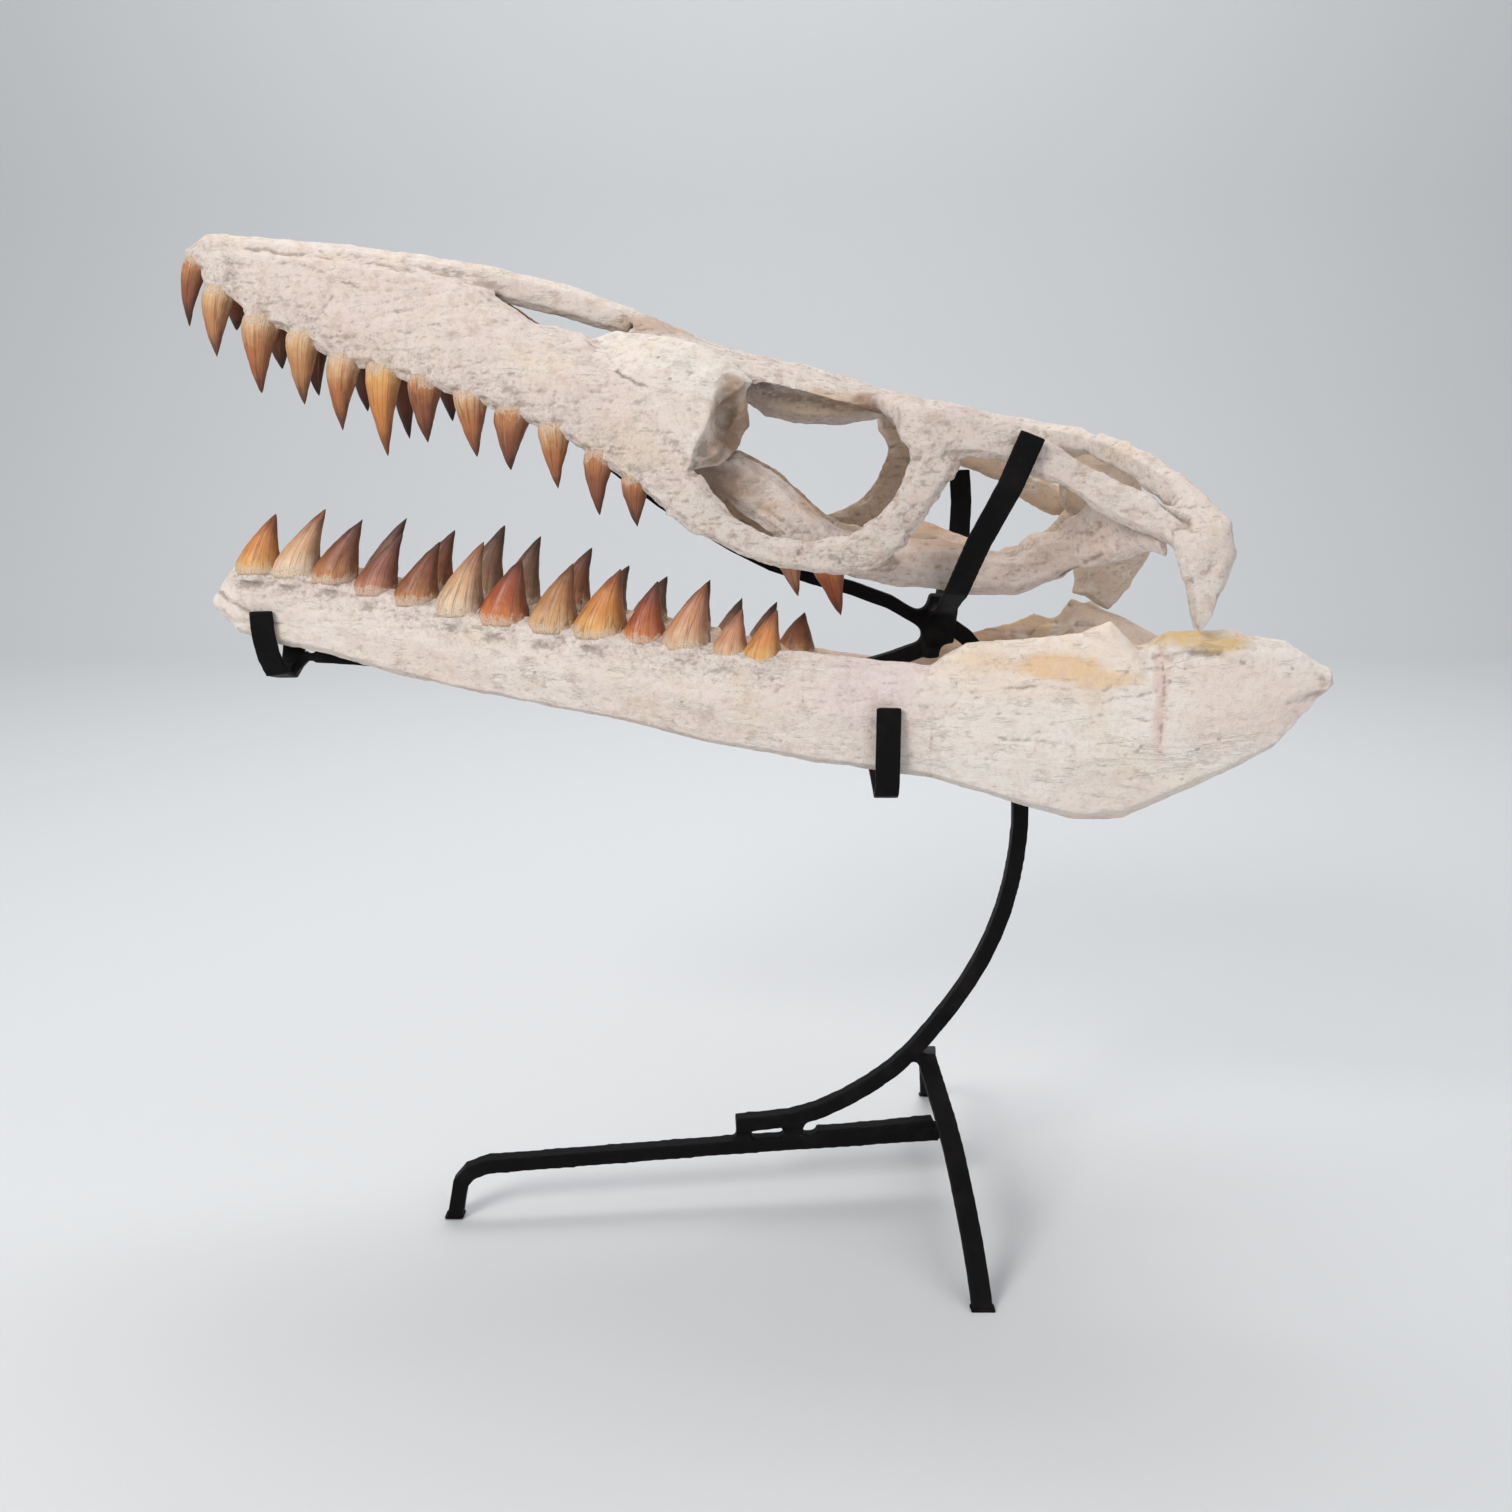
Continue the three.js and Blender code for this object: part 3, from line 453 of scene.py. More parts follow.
@dataclass(frozen=True)
class IronFinish:
    """Forged iron under black paint, with a hammered skin, dust and a few scuffs."""

    name: str = "black_iron"
    paint_black: Colour = (0.0035, 0.003, 0.003)
    worn: Colour = (0.014, 0.012, 0.011)
    scuff: Colour = (0.36, 0.35, 0.34)
    relief: float = 0.5 * MM

    def material(self) -> bpy.types.Material:
        """Builds the material."""
        sh = Shader(self.name)
        hammer = sh.cloud(90, 3, 0.5)
        skin = sh.cloud(420, 4, 0.6)
        dust = sh.cloud(26, 5, 0.65)
        wear = sh.stored("edge")
        scratches = sh.cloud(1.0, 3, 0.6, sh.stretched(24, 900, 4))
        rare = sh.cloud(14, 2, 0.5)
        scuffs = scratches.step(0.66, 0.74) * rare.step(0.60, 0.70)
        colour = sh.layered(
            self.paint_black,
            (dust.step(0.45, 0.75) * 0.55, self.worn),
            (wear * (skin.step(0.40, 0.70) * 0.6), self.worn),
            (scuffs * 0.7, self.scuff),
        )
        rough = 0.42 + 0.20 * dust + 0.12 * skin
        height = 0.6 * hammer + 0.25 * skin
        return sh.close(colour, rough, height, self.relief, Specular_IOR_Level=0.08)


@dataclass(frozen=True)
class FloorFinish:
    """Matt pale studio paper."""

    name: str = "studio_paper"
    tone: Colour = (0.63, 0.64, 0.65)
    fleck: Colour = (0.56, 0.57, 0.58)

    def material(self) -> bpy.types.Material:
        """Builds the material."""
        sh = Shader(self.name)
        fibre = sh.cloud(300, 3)
        colour = sh.mix(fibre * 0.06, self.tone, self.fleck)
        return sh.close(colour, 0.9 + 0.05 * fibre, fibre, 0.05 * MM, Specular_IOR_Level=0.2)


# ---- mesh helpers ----


def merged(names: Iterable[str]) -> bmesh.types.BMesh:
    """One mesh of several CAD nodes, each welded along its own edges.

    Args:
        names: The nodes.

    Returns:
        The mesh; the caller frees it.
    """
    bm = bmesh.new()
    for name in names:
        bm.from_mesh(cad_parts[name].data)
    bmesh.ops.remove_doubles(bm, verts=bm.verts, dist=WELD)
    bm.normal_update()
    return bm


def swell(bm: bmesh.types.BMesh, amount: float) -> None:
    """Moves a mesh outwards by an amount in metres, so that neighbours fuse."""
    for vert in bm.verts:
        vert.co += vert.normal * amount


def mend(bm: bmesh.types.BMesh) -> None:
    """Removes every loose part but the largest, and closes each hole with a fan.

    Args:
        bm: The mesh.
    """
    bmesh.ops.delete(bm, geom=[e for e in bm.edges if not e.link_faces], context="EDGES")
    left, loose = set(bm.faces), []
    while left:
        part, rim = [], [left.pop()]
        while rim:
            face = rim.pop()
            part.append(face)
            fresh = {f for e in face.edges for f in e.link_faces} & left
            left -= fresh
            rim.extend(fresh)
        loose.append(part)
    loose.sort(key=len)
    bmesh.ops.delete(bm, geom=[f for part in loose[:-1] for f in part], context="FACES")
    open_edges = {e for e in bm.edges if e.is_boundary}
    while open_edges:
        hole, rim = set(), [open_edges.pop()]
        while rim:
            edge = rim.pop()
            hole.add(edge)
            fresh = {e for v in edge.verts for e in v.link_edges} & open_edges
            open_edges -= fresh
            rim.extend(fresh)
        made = bmesh.ops.extrude_edge_only(bm, edges=list(hole))["geom"]
        rim_verts = [g for g in made if isinstance(g, bmesh.types.BMVert)]
        middle = sum((v.co for v in rim_verts), Vector()) / len(rim_verts)
        bmesh.ops.pointmerge(bm, verts=rim_verts, merge_co=middle)
    bmesh.ops.recalc_face_normals(bm, faces=bm.faces)


def linked(name: str, mesh: bpy.types.Mesh) -> bpy.types.Object:
    """Puts a mesh in the scene as a smooth-shaded object.

    Args:
        name: The piece's name.
        mesh: Its mesh.

    Returns:
        The object.
    """
    piece = bpy.data.objects.new(name, mesh)
    bpy.context.scene.collection.objects.link(piece)
    mesh.polygons.foreach_set("use_smooth", [True] * len(mesh.polygons))
    return piece


def fused(shells: bpy.types.Mesh, voxel: float) -> bpy.types.Mesh:
    """Fuses the shells of a mesh into one even skin.

    Args:
        shells: The shells, which are removed.
        voxel: Size of the new faces.

    Returns:
        The skin.
    """
    holder = linked("shells", shells)
    modifier = holder.modifiers.new("fuse", "REMESH")
    modifier.mode = "VOXEL"
    modifier.voxel_size = voxel
    modifier.adaptivity = 0.0
    graph = bpy.context.evaluated_depsgraph_get()
    skin = bpy.data.meshes.new_from_object(holder.evaluated_get(graph))
    bpy.data.objects.remove(holder)
    bpy.data.meshes.remove(shells)
    return skin


def closed_skin(bm: bmesh.types.BMesh, voxel: float, reach: float) -> bpy.types.Mesh:
    """Fuses shells and fills what is narrower than twice the reach, as cement does.

    Args:
        bm: The shells, which are freed.
        voxel: Size of the new faces.
        reach: Half the width of what is filled; 0 fills nothing.

    Returns:
        The skin.
    """
    shells = bpy.data.meshes.new("shells")
    bm.to_mesh(shells)
    bm.free()
    skin = fused(shells, voxel)
    if reach > 0:
        shifted(skin, reach)
        skin = fused(skin, voxel)
        relax(skin, 2)
        shifted(skin, -reach)
    return skin


def points_of(mesh: bpy.types.Mesh) -> np.ndarray:
    """The mesh's points as rows."""
    flat = np.zeros(len(mesh.vertices) * 3)
    mesh.vertices.foreach_get("co", flat)
    return flat.reshape(-1, 3)


def normals_of(mesh: bpy.types.Mesh) -> np.ndarray:
    """The mesh's point normals as rows."""
    flat = np.zeros(len(mesh.vertices) * 3)
    mesh.vertex_normals.foreach_get("vector", flat)
    return flat.reshape(-1, 3)


def place_points(mesh: bpy.types.Mesh, rows: np.ndarray) -> None:
    """Writes rows back as the mesh's points, held inside the CAD box."""
    held = np.clip(rows, np.array(CAD_LOW) + 1e-6, np.array(CAD_HIGH) - 1e-6)
    mesh.vertices.foreach_set("co", held.ravel())
    mesh.update()


def neighbour_mean(mesh: bpy.types.Mesh) -> Callable[[np.ndarray], np.ndarray]:
    """A function that averages rows over each point's neighbours.

    Args:
        mesh: The mesh whose edges are followed.

    Returns:
        The function.
    """
    flat = np.zeros(len(mesh.edges) * 2, dtype=np.int64)
    mesh.edges.foreach_get("vertices", flat)
    pairs = flat.reshape(-1, 2)
    ends = np.concatenate([pairs[:, 0], pairs[:, 1]])
    others = np.concatenate([pairs[:, 1], pairs[:, 0]])
    count = len(mesh.vertices)
    valence = np.maximum(np.bincount(ends, minlength=count), 1)

    def mean(rows: np.ndarray) -> np.ndarray:
        """Averages rows over neighbours."""
        sums = [np.bincount(ends, column[others], count) for column in rows.T]
        return np.stack([total / valence for total in sums], axis=1)

    return mean


def relax(
    mesh: bpy.types.Mesh, rounds: int, back: float = 0.515, free: np.ndarray | None = None
) -> None:
    """Rounds facets without shrinking, by turns of smoothing and its reverse.

    Args:
        mesh: The mesh.
        rounds: Number of turns.
        back: Strength of the reverse; the nearer to 0.5, the broader the facets it rounds.
        free: From 0 to 1 for each point, how far it takes part.
    """
    mean = neighbour_mean(mesh)
    rows = points_of(mesh)
    share = 1.0 if free is None else free[:, None]
    for _ in range(rounds):
        rows = rows + 0.50 * share * (mean(rows) - rows)
        rows = rows - back * share * (mean(rows) - rows)
    place_points(mesh, rows)


def settled(mesh: bpy.types.Mesh, rows: np.ndarray, share: np.ndarray, rounds: int) -> np.ndarray:
    """Draws points towards their neighbours.

    Args:
        mesh: The mesh.
        rows: Its points.
        share: How far each goes in one round, from 0 to 1.
        rounds: Number of rounds.

    Returns:
        The new points.
    """
    mean = neighbour_mean(mesh)
    for _ in range(rounds):
        rows = rows + share * (mean(rows) - rows)
    return rows


def shifted(mesh: bpy.types.Mesh, amount: float) -> None:
    """Moves a skin's points along their normals, by an amount in metres."""
    mesh.vertices.foreach_set("co", (points_of(mesh) + normals_of(mesh) * amount).ravel())
    mesh.update()


def field_of(
    rows: np.ndarray, scale: Sequence[float], octaves: int, seed: float, ridged: bool = False
) -> np.ndarray:
    """Fractal noise at each point, about -1 to 1.

    Args:
        rows: The points, in metres.
        scale: Turns per metre along X, Y and Z.
        octaves: Finer layers.
        seed: Where in the noise to look.
        ridged: Whether it has sharp crests.

    Returns:
        One value for each point.
    """
    spots = rows * np.array(scale) + seed
    fineness, spread = 0.9, 2.1  # how the layers weaken, and how much finer each is
    if ridged:
        offset, gain = 0.9, 1.8
        crests = [
            noise.ridged_multi_fractal(s, fineness, spread, octaves, offset, gain) for s in spots
        ]
        return np.array(crests) - 1.0
    return np.array([noise.fractal(s, fineness, spread, octaves) for s in spots])


def store(mesh: bpy.types.Mesh, name: str, values: np.ndarray) -> None:
    """Keeps a value or a colour on each point.

    Args:
        mesh: The mesh.
        name: The attribute's name.
        values: One number, or three, for each point.
    """
    if values.ndim == 1:
        kind, key = "FLOAT", "value"
    elif name == "wrap":
        kind, key = "FLOAT_VECTOR", "vector"
    else:
        kind, key = "FLOAT_COLOR", "color"
        values = np.concatenate([values, np.ones((len(values), 1))], axis=1)
    kept = mesh.attributes.new(name, kind, "POINT")
    kept.data.foreach_set(key, values.ravel().astype(np.float32))


# ---- regions ----

Place = tuple[float, float, float]  # mm: X, distance from the middle plane, Z, for both sides


def folded(rows: np.ndarray) -> np.ndarray:
    """Points in millimetres, with both sides laid on one another."""
    return np.stack([rows[:, 0], np.abs(rows[:, 1]), rows[:, 2]], axis=1) / MM


@dataclass(frozen=True)
class Spot:
    """An egg-shaped region of the bone."""

    centre: Place
    radius: Place

    def nearness(self, rows: np.ndarray) -> np.ndarray:
        """From 0 outside to 1 at the centre, for each point."""
        away = (folded(rows) - np.array(self.centre)) / np.array(self.radius)
        return np.clip(1.0 - np.linalg.norm(away, axis=1), 0.0, 1.0)


def covered(spots: Iterable[Spot], rows: np.ndarray) -> np.ndarray:
    """How fully some regions cover each point, with soft rims.

    Args:
        spots: The regions.
        rows: The points.

    Returns:
        A column of values from 0 to 1.
    """
    share = np.zeros(len(rows))
    for spot in spots:
        share = np.maximum(share, spot.nearness(rows))
    return np.clip(2.5 * share, 0, 1)[:, None]


# ---- teeth ----


@dataclass
class Crown:
    """One tooth crown, rebuilt from the tip of its solid and the ring of corners below it."""

    tip: Vector
    ring: Vector
    half_width: float
    flatten: float
    bend: float
    sides: int = 20
    levels: int = 22

    CORNERS = 5  # of a ring of the solid
    FIRST_RISE = 1 / 3  # how far up the crown the first ring of corners lies
    RING_RISE = 2 / 3  # and the second, which is the one below the tip
    RING_SHARE = 0.611  # its half width, as a share of the crown's
    BOW = 0.035  # how far the middle line bulges forwards, as a share of the height
    KEEL = 0.07  # how far the front and rear edges stand out, as a share of the width
    FACET = 0.018  # how far the eight facets' edges do, at the foot
    PROFILE = (
        (0.0, 0.98), (0.10, 1.02), (0.22, 0.97), (0.36, 0.83), (0.50, 0.67),
        (0.64, 0.51), (0.76, 0.365), (0.87, 0.225), (0.95, 0.11), (1.0, 0.02),
    )  # fmt: skip

    @property
    def height(self) -> float:
        """Signed height from the buried root to the tip."""
        return (self.tip.z - self.ring.z) / (1 - self.RING_RISE)

    @property
    def lean(self) -> float:
        """How far the tip stands ahead of the root, along X."""
        return (self.tip.x - self.ring.x) / (1 - self.RING_RISE**self.bend)

    def centre(self, rise: float) -> Vector:
        """The crown's middle line.

        Args:
            rise: From 0 at the root to 1 at the tip.

        Returns:
            A point on it.
        """
        bow = self.BOW * abs(self.height) * 4 * rise * (1 - rise)
        x = self.tip.x - self.lean * (1 - rise**self.bend) - bow
        y = self.tip.y + (self.ring.y - self.tip.y) * (1 - rise) / (1 - self.RING_RISE)
        return Vector((x, y, self.tip.z - self.height * (1 - rise)))

    def girth(self, rise: float) -> float:
        """Half width of the crown at a height."""
        share = np.interp(rise, [p[0] for p in self.PROFILE], [p[1] for p in self.PROFILE])
        return float(share) * self.half_width

    def add_to(self, bm: bmesh.types.BMesh, owner: bmesh.types.BMLayerItem, number: int) -> None:
        """Adds the crown's fine mesh.

        Args:
            bm: The mesh it joins.
            owner: The layer that says whose each point is, 0 on new points.
            number: The crown's own number, from 1.
        """
        bmesh.ops.create_cone(
            bm, cap_ends=True, segments=self.sides, radius1=1.0, radius2=0.5, depth=1.0,
            matrix=Matrix.Translation((0, 0, 0.5)),
        )  # fmt: skip
        fresh = [e for e in bm.edges if e.verts[0][owner] == 0]
        ribs = [e for e in fresh if abs(e.verts[0].co.z - e.verts[1].co.z) > 0.5]
        bmesh.ops.subdivide_edges(bm, edges=ribs, cuts=self.levels)
        for vert in (v for v in bm.verts if v[owner] == 0):
            vert[owner] = number
            rise = vert.co.z
            angle = math.atan2(vert.co.y, vert.co.x)
            reach = self.girth(rise)
            keel = 1 + self.KEEL * abs(math.cos(angle)) ** 8
            keel += self.FACET * math.cos(8 * angle) * (1 - rise)
            ahead, aside = math.cos(angle) * reach * keel, math.sin(angle) * reach * self.flatten
            vert.co = self.centre(rise) + Vector((ahead, aside, 0))


def crowns_in(bm: bmesh.types.BMesh, upward: bool) -> list[Crown]:
    """Finds the crowns of a tooth row's solid, and cuts them off at the gum.

    Args:
        bm: The merged solid, which loses its crowns and stays closed.
        upward: Whether the teeth point up.

    Returns:
        The crowns, from the front backwards.
    """
    least, flat = 4 * MM, 0.02 * MM  # a tip's least rise over its ring, and how level a ring is
    sign = 1.0 if upward else -1.0
    crowns, gone = [], set()
    for vert in bm.verts:
        around = [e.other_vert(vert) for e in vert.link_edges]
        below = [sign * (vert.co.z - v.co.z) for v in around]
        if len(around) != Crown.CORNERS or min(below) < least or max(below) - min(below) > flat:
            continue
        ring = sum((v.co for v in around), Vector()) / Crown.CORNERS
        reach = max(abs(v.co.x - ring.x) for v in around)
        slim, bend = (0.98, 1.35) if upward else (0.88, 0.6)
        crown = Crown(vert.co.copy(), ring, slim * reach / Crown.RING_SHARE, 0.80, bend)
        crowns.append(crown)
        first_ring = crown.tip.z - crown.height * (1 - Crown.FIRST_RISE)
        gone.update([vert, *around])
        gone.update(
            w for v in around for w in (e.other_vert(v) for e in v.link_edges)
            if abs(w.co.z - first_ring) < flat
        )  # fmt: skip
    bmesh.ops.delete(bm, geom=list(gone), context="VERTS")
    mend(bm)
    return sorted(crowns, key=lambda c: c.tip.x)


@dataclass
class ToothRow:
    """The crowns of one bone as one piece."""

    name: str
    crowns: list[Crown]
    shades: tuple[Enamel, ...]

    ROUGH = 0.65  # mm
    WRAP = 2.4  # radius of the crowns' own coordinates
    APART = 3.1  # how far apart two crowns lie in them

    def build(self, finish: bpy.types.Material) -> bpy.types.Object:
        """Makes the piece.

        Args:
            finish: The enamel.

        Returns:
            The piece.
        """
        bm = bmesh.new()
        owner = bm.verts.layers.int.new("owner")
        for number, crown in enumerate(self.crowns):
            crown.add_to(bm, owner, number + 1)
        bmesh.ops.recalc_face_normals(bm, faces=bm.faces)
        mesh = bpy.data.meshes.new(self.name)
        bm.to_mesh(mesh)
        bm.free()
        piece = linked(self.name, mesh)
        self._colour(mesh)
        rows = points_of(mesh)
        rough = field_of(rows, (70, 70, 70), 4, 4.7) * self.ROUGH * MM
        place_points(mesh, rows + normals_of(mesh) * rough[:, None])
        mesh.materials.append(finish)
        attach(piece, "root")
        log.info("%s: %d crowns", self.name, len(self.crowns))
        return piece

    def _colour(self, mesh: bpy.types.Mesh) -> None:
        """Stores each crown's colours and its own coordinates.

        Args:
            mesh: The row's mesh, which says whose each point is.
        """
        rows = points_of(mesh)
        total = len(rows)
        colours = {part: np.zeros((total, 3)) for part in ("foot", "body", "tip")}
        rise, wrap = np.zeros(total), np.zeros((total, 3))
        owner = np.zeros(total, dtype=np.int32)
        mesh.attributes["owner"].data.foreach_get("value", owner)
        for number, crown in enumerate(self.crowns):
            mine = owner == number + 1
            shade = self.shades[number % len(self.shades)].value
            for part, colour in zip(("foot", "body", "tip"), shade):
                colours[part][mine] = colour
            share = (rows[mine, 2] - (crown.tip.z - crown.height)) / crown.height
            centre = np.array([crown.centre(max(0.0, float(s))) for s in share])
            angle = np.arctan2(rows[mine, 1] - centre[:, 1], rows[mine, 0] - centre[:, 0])
            rise[mine] = share
            round_it = [self.WRAP * np.cos(angle), self.WRAP * np.sin(angle)]
            wrap[mine] = np.stack([*round_it, 0.5 * share + self.APART * number], axis=1)
        for part, values in colours.items():
            store(mesh, part, values)
        store(mesh, "rise", rise)
        store(mesh, "wrap", wrap)


# ---- bones ----


@dataclass(frozen=True)
class StainAndShade(Spot):
    """A region with a ground colour of its own; most are real stains, a few are painted shade."""

    colour: Colour = Tone.STRAW.value
    strength: float = 0.8


@dataclass(frozen=True)
class Dish(Spot):
    """A region that is pushed, in millimetres along X, outwards and along Z, or drawn together."""

    push: Place = (0.0, 0.0, 0.0)
    draw: float = 0.0
    side: float = 0.0  # -1 for the left side only, 1 for the right

    def shift(self, rows: np.ndarray) -> np.ndarray:
        """How far each point goes, in metres."""
        side = np.where(rows[:, 1] < 0, -1.0, 1.0)
        near = self.nearness(rows)
        share = near * near * (3 - 2 * near) * (side * self.side >= 0)
        way = np.array(self.push) + self.draw * (np.array(self.centre) - folded(rows))
        way[:, 1] *= side
        return way * share[:, None] * MM


@dataclass(frozen=True)
class Groove:
    """A split, or the line where one bone laps over another, along the outer face."""

    line: tuple[tuple[float, float], ...]  # mm: X and Z
    out: float  # mm from the middle plane, roughly
    width: float = 1.8
    depth: float = 0.9

    BAND = 30  # mm: how far from out the face may lie
    WANDER = 2.6  # mm: how far the line strays

    def nearness(self, rows: np.ndarray) -> np.ndarray:
        """From 0 away from the line to 1 on it, for each point."""
        spots = folded(rows)
        flat = spots[:, [0, 2]]
        wander = field_of(rows, (55, 55, 55), 4, 17.0)[:, None] * self.WANDER
        patchy = np.clip(0.45 + 1.5 * field_of(rows, (38, 38, 38), 3, 23.0), 0.10, 1)
        best = np.full(len(rows), np.inf)
        for start, end in zip(self.line, self.line[1:]):
            first, step = np.array(start), np.subtract(end, start)
            along = np.clip((flat - first) @ step / (step @ step), 0, 1)[:, None]
            best = np.minimum(best, np.linalg.norm(flat + wander - first - along * step, axis=1))
        on_face = np.abs(spots[:, 1] - self.out) < self.BAND
        return np.exp(-((best / self.width) ** 2)) * patchy * on_face


@dataclass(frozen=True)
class Patch:
    """Bones whose joint was smoothed over with plaster."""

    bones: tuple[str, ...]
    reach: float


@dataclass
class BoneGroup:
    """Bones that are cemented together, fused into one skin with their joints still to be seen."""

    name: str
    bones: dict[str, tuple[Tone, float]]  # ground colour and ruggedness
    patches: tuple[Patch, ...] = ()
    dishes: tuple[Dish, ...] = ()
    grooves: tuple[Groove, ...] = ()
    stains: tuple[StainAndShade, ...] = ()
    melt: tuple[Spot, ...] = ()
    level: tuple[Spot, ...] = ()
    slot: str = "bone"
    voxel: float = 1.7 * MM
    cement: float = 2.4 * MM
    rounds: int = 26
    melting: int = 90
    wave: float = 1.0 * MM
    rough: float = 0.7 * MM
    seed: float = 3.0
    cuts: tuple[float, ...] = ()
    teeth: dict[str, tuple[str, bool, tuple[Enamel, ...]]] = field(default_factory=dict)
    rows: list[ToothRow] = field(default_factory=list)

    SWELL = 0.35 * MM  # each bone grows by this much first, so that neighbours fuse
    PARE = 0.2 * MM  # and the finished skin is taken back by this much
    PLASTER_GRAIN, PLASTER_SINK = 3 * MM, 0.5 * MM
    COLLAR, COLLAR_SINK = 13 * MM, 2 * MM  # height of a tooth's bony collar, and how deep it sits
    COLLAR_RISE, COLLAR_WIDTH = 0.05, 1.05  # where on the crown it is, and its share of the width
    GUM = 26 * MM  # how far the rough gum reaches from a tooth
    SEAM = 0.45 * MM  # depth of the line between two bones
    LINE, LINE_REACH, LINE_SHARE = 1 * MM, 5 * MM, 0.55  # its width, where it shows, how strongly
    BAND, BAND_REACH = 12 * MM, 16 * MM  # the same for the band round it, which is evened out
    EVEN_ROUNDS, EVEN_BACK = 60, 0.508
    BLEND = 4 * MM  # how softly the ground colours of two bones meet
    HOLLOW = 0.35 * MM  # a spot that lies this deep gets the full painted shade of a hollow
    FAR = 30 * MM  # beyond this a bone has no say in a point's colour

    def build(self, finish: bpy.types.Material) -> None:
        """Makes the fused skin in one piece or more, and finds the crowns of its tooth rows.

        Args:
            finish: The bone.
        """
        whole = bmesh.new()
        sources: list[BVHTree] = []
        shells: dict[str, bpy.types.Mesh] = {}
        for bone in self.bones:
            part = merged([bone])
            if bone in self.teeth:
                row_name, upward, shades = self.teeth[bone]
                self.rows.append(ToothRow(row_name, crowns_in(part, upward), shades))
            sources.append(BVHTree.FromBMesh(part))
            swell(part, self.SWELL)
            shells[bone] = bpy.data.meshes.new("part")
            part.to_mesh(shells[bone])
            part.free()
            whole.from_mesh(shells[bone])
        for patch in self.patches:
            filler = bmesh.new()
            for bone in patch.bones:
                filler.from_mesh(shells[bone])
            plaster = closed_skin(filler, self.PLASTER_GRAIN, patch.reach)
            shifted(plaster, -self.PLASTER_SINK)
            whole.from_mesh(plaster)
            bpy.data.meshes.remove(plaster)
        for shell in shells.values():
            bpy.data.meshes.remove(shell)
        for row in self.rows:
            for crown in row.crowns:
                self._socket(whole, crown)
        skin = closed_skin(whole, self.voxel, self.cement)
        relax(skin, self.rounds)
        self._shape(skin)
        self._weather(skin, sources)
        for name, mesh in self._parts(skin):
            piece = linked(name, mesh)
            mesh.materials.clear()
            mesh.materials.append(finish)
            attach(piece, "root")
            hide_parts(*self.bones)
            log.info("%s: %d bones, %d faces", name, len(self.bones), len(mesh.polygons))

    def _parts(self, skin: bpy.types.Mesh) -> list[tuple[str, bpy.types.Mesh]]:
        """Saws the skin across at the group's cuts, and closes each part.

        Args:
            skin: The whole skin.

        Returns:
            Each part's name and mesh, from the front backwards.
        """
        if not self.cuts:
            return [(self.name, skin)]
        limits = (-math.inf, *self.cuts, math.inf)
        made = []
        for number, (front, back) in enumerate(zip(limits, limits[1:])):
            bm = bmesh.new()
            bm.from_mesh(skin)
            for place, side in ((front, -1.0), (back, 1.0)):
                if math.isfinite(place):
                    geometry = [*bm.verts, *bm.edges, *bm.faces]
                    across = {"plane_co": (place, 0, 0), "plane_no": (side, 0, 0)}
                    bmesh.ops.bisect_plane(bm, geom=geometry, clear_outer=True, **across)
            rims = [e for e in bm.edges if e.is_boundary]
            bmesh.ops.holes_fill(bm, edges=rims, sides=0)
            for rim in rims:
                rim.smooth = False
            mesh = bpy.data.meshes.new(f"{self.name}_{number}")
            bm.to_mesh(mesh)
            bm.free()
            made.append((f"{self.name}_{('front', 'middle', 'back')[number]}", mesh))
        bpy.data.meshes.remove(skin)
        return made

    def _socket(self, bm: bmesh.types.BMesh, crown: Crown) -> None:
        """Adds to the shells the low bony collar that a crown grows from."""
        up = 1.0 if crown.height > 0 else -1.0
        foot = crown.centre(self.COLLAR_RISE)
        wide = crown.half_width * self.COLLAR_WIDTH
        turn = Matrix.Diagonal((1.0, crown.flatten, up, 1.0))
        made = bmesh.ops.create_cone(
            bm, cap_ends=True, segments=12, radius1=wide, radius2=wide * 0.86, depth=self.COLLAR,
            matrix=Matrix.Translation(foot - Vector((0, 0, up * self.COLLAR_SINK))) @ turn,
        )["verts"]  # fmt: skip
        if up < 0:
            bmesh.ops.reverse_faces(bm, faces=list({f for v in made for f in v.link_faces}))

    def _shape(self, mesh: bpy.types.Mesh) -> None:
        """Presses the group's dishes into the skin, melts its rough joints and levels its plates.

        Args:
            mesh: The fused skin.
        """
        rows = points_of(mesh)
        for dish in self.dishes:
            rows += dish.shift(rows)
        facing = normals_of(mesh)[:, 1] * np.sign(rows[:, 1])
        outward = np.clip(facing * 2 - 0.6, 0, 1)
        levelling = covered(self.level, rows) * outward[:, None] * np.array([[0.0, 1.0, 0.0]])
        share = 0.5 * covered(self.melt, rows) + levelling
        place_points(mesh, settled(mesh, rows, share, self.melting))

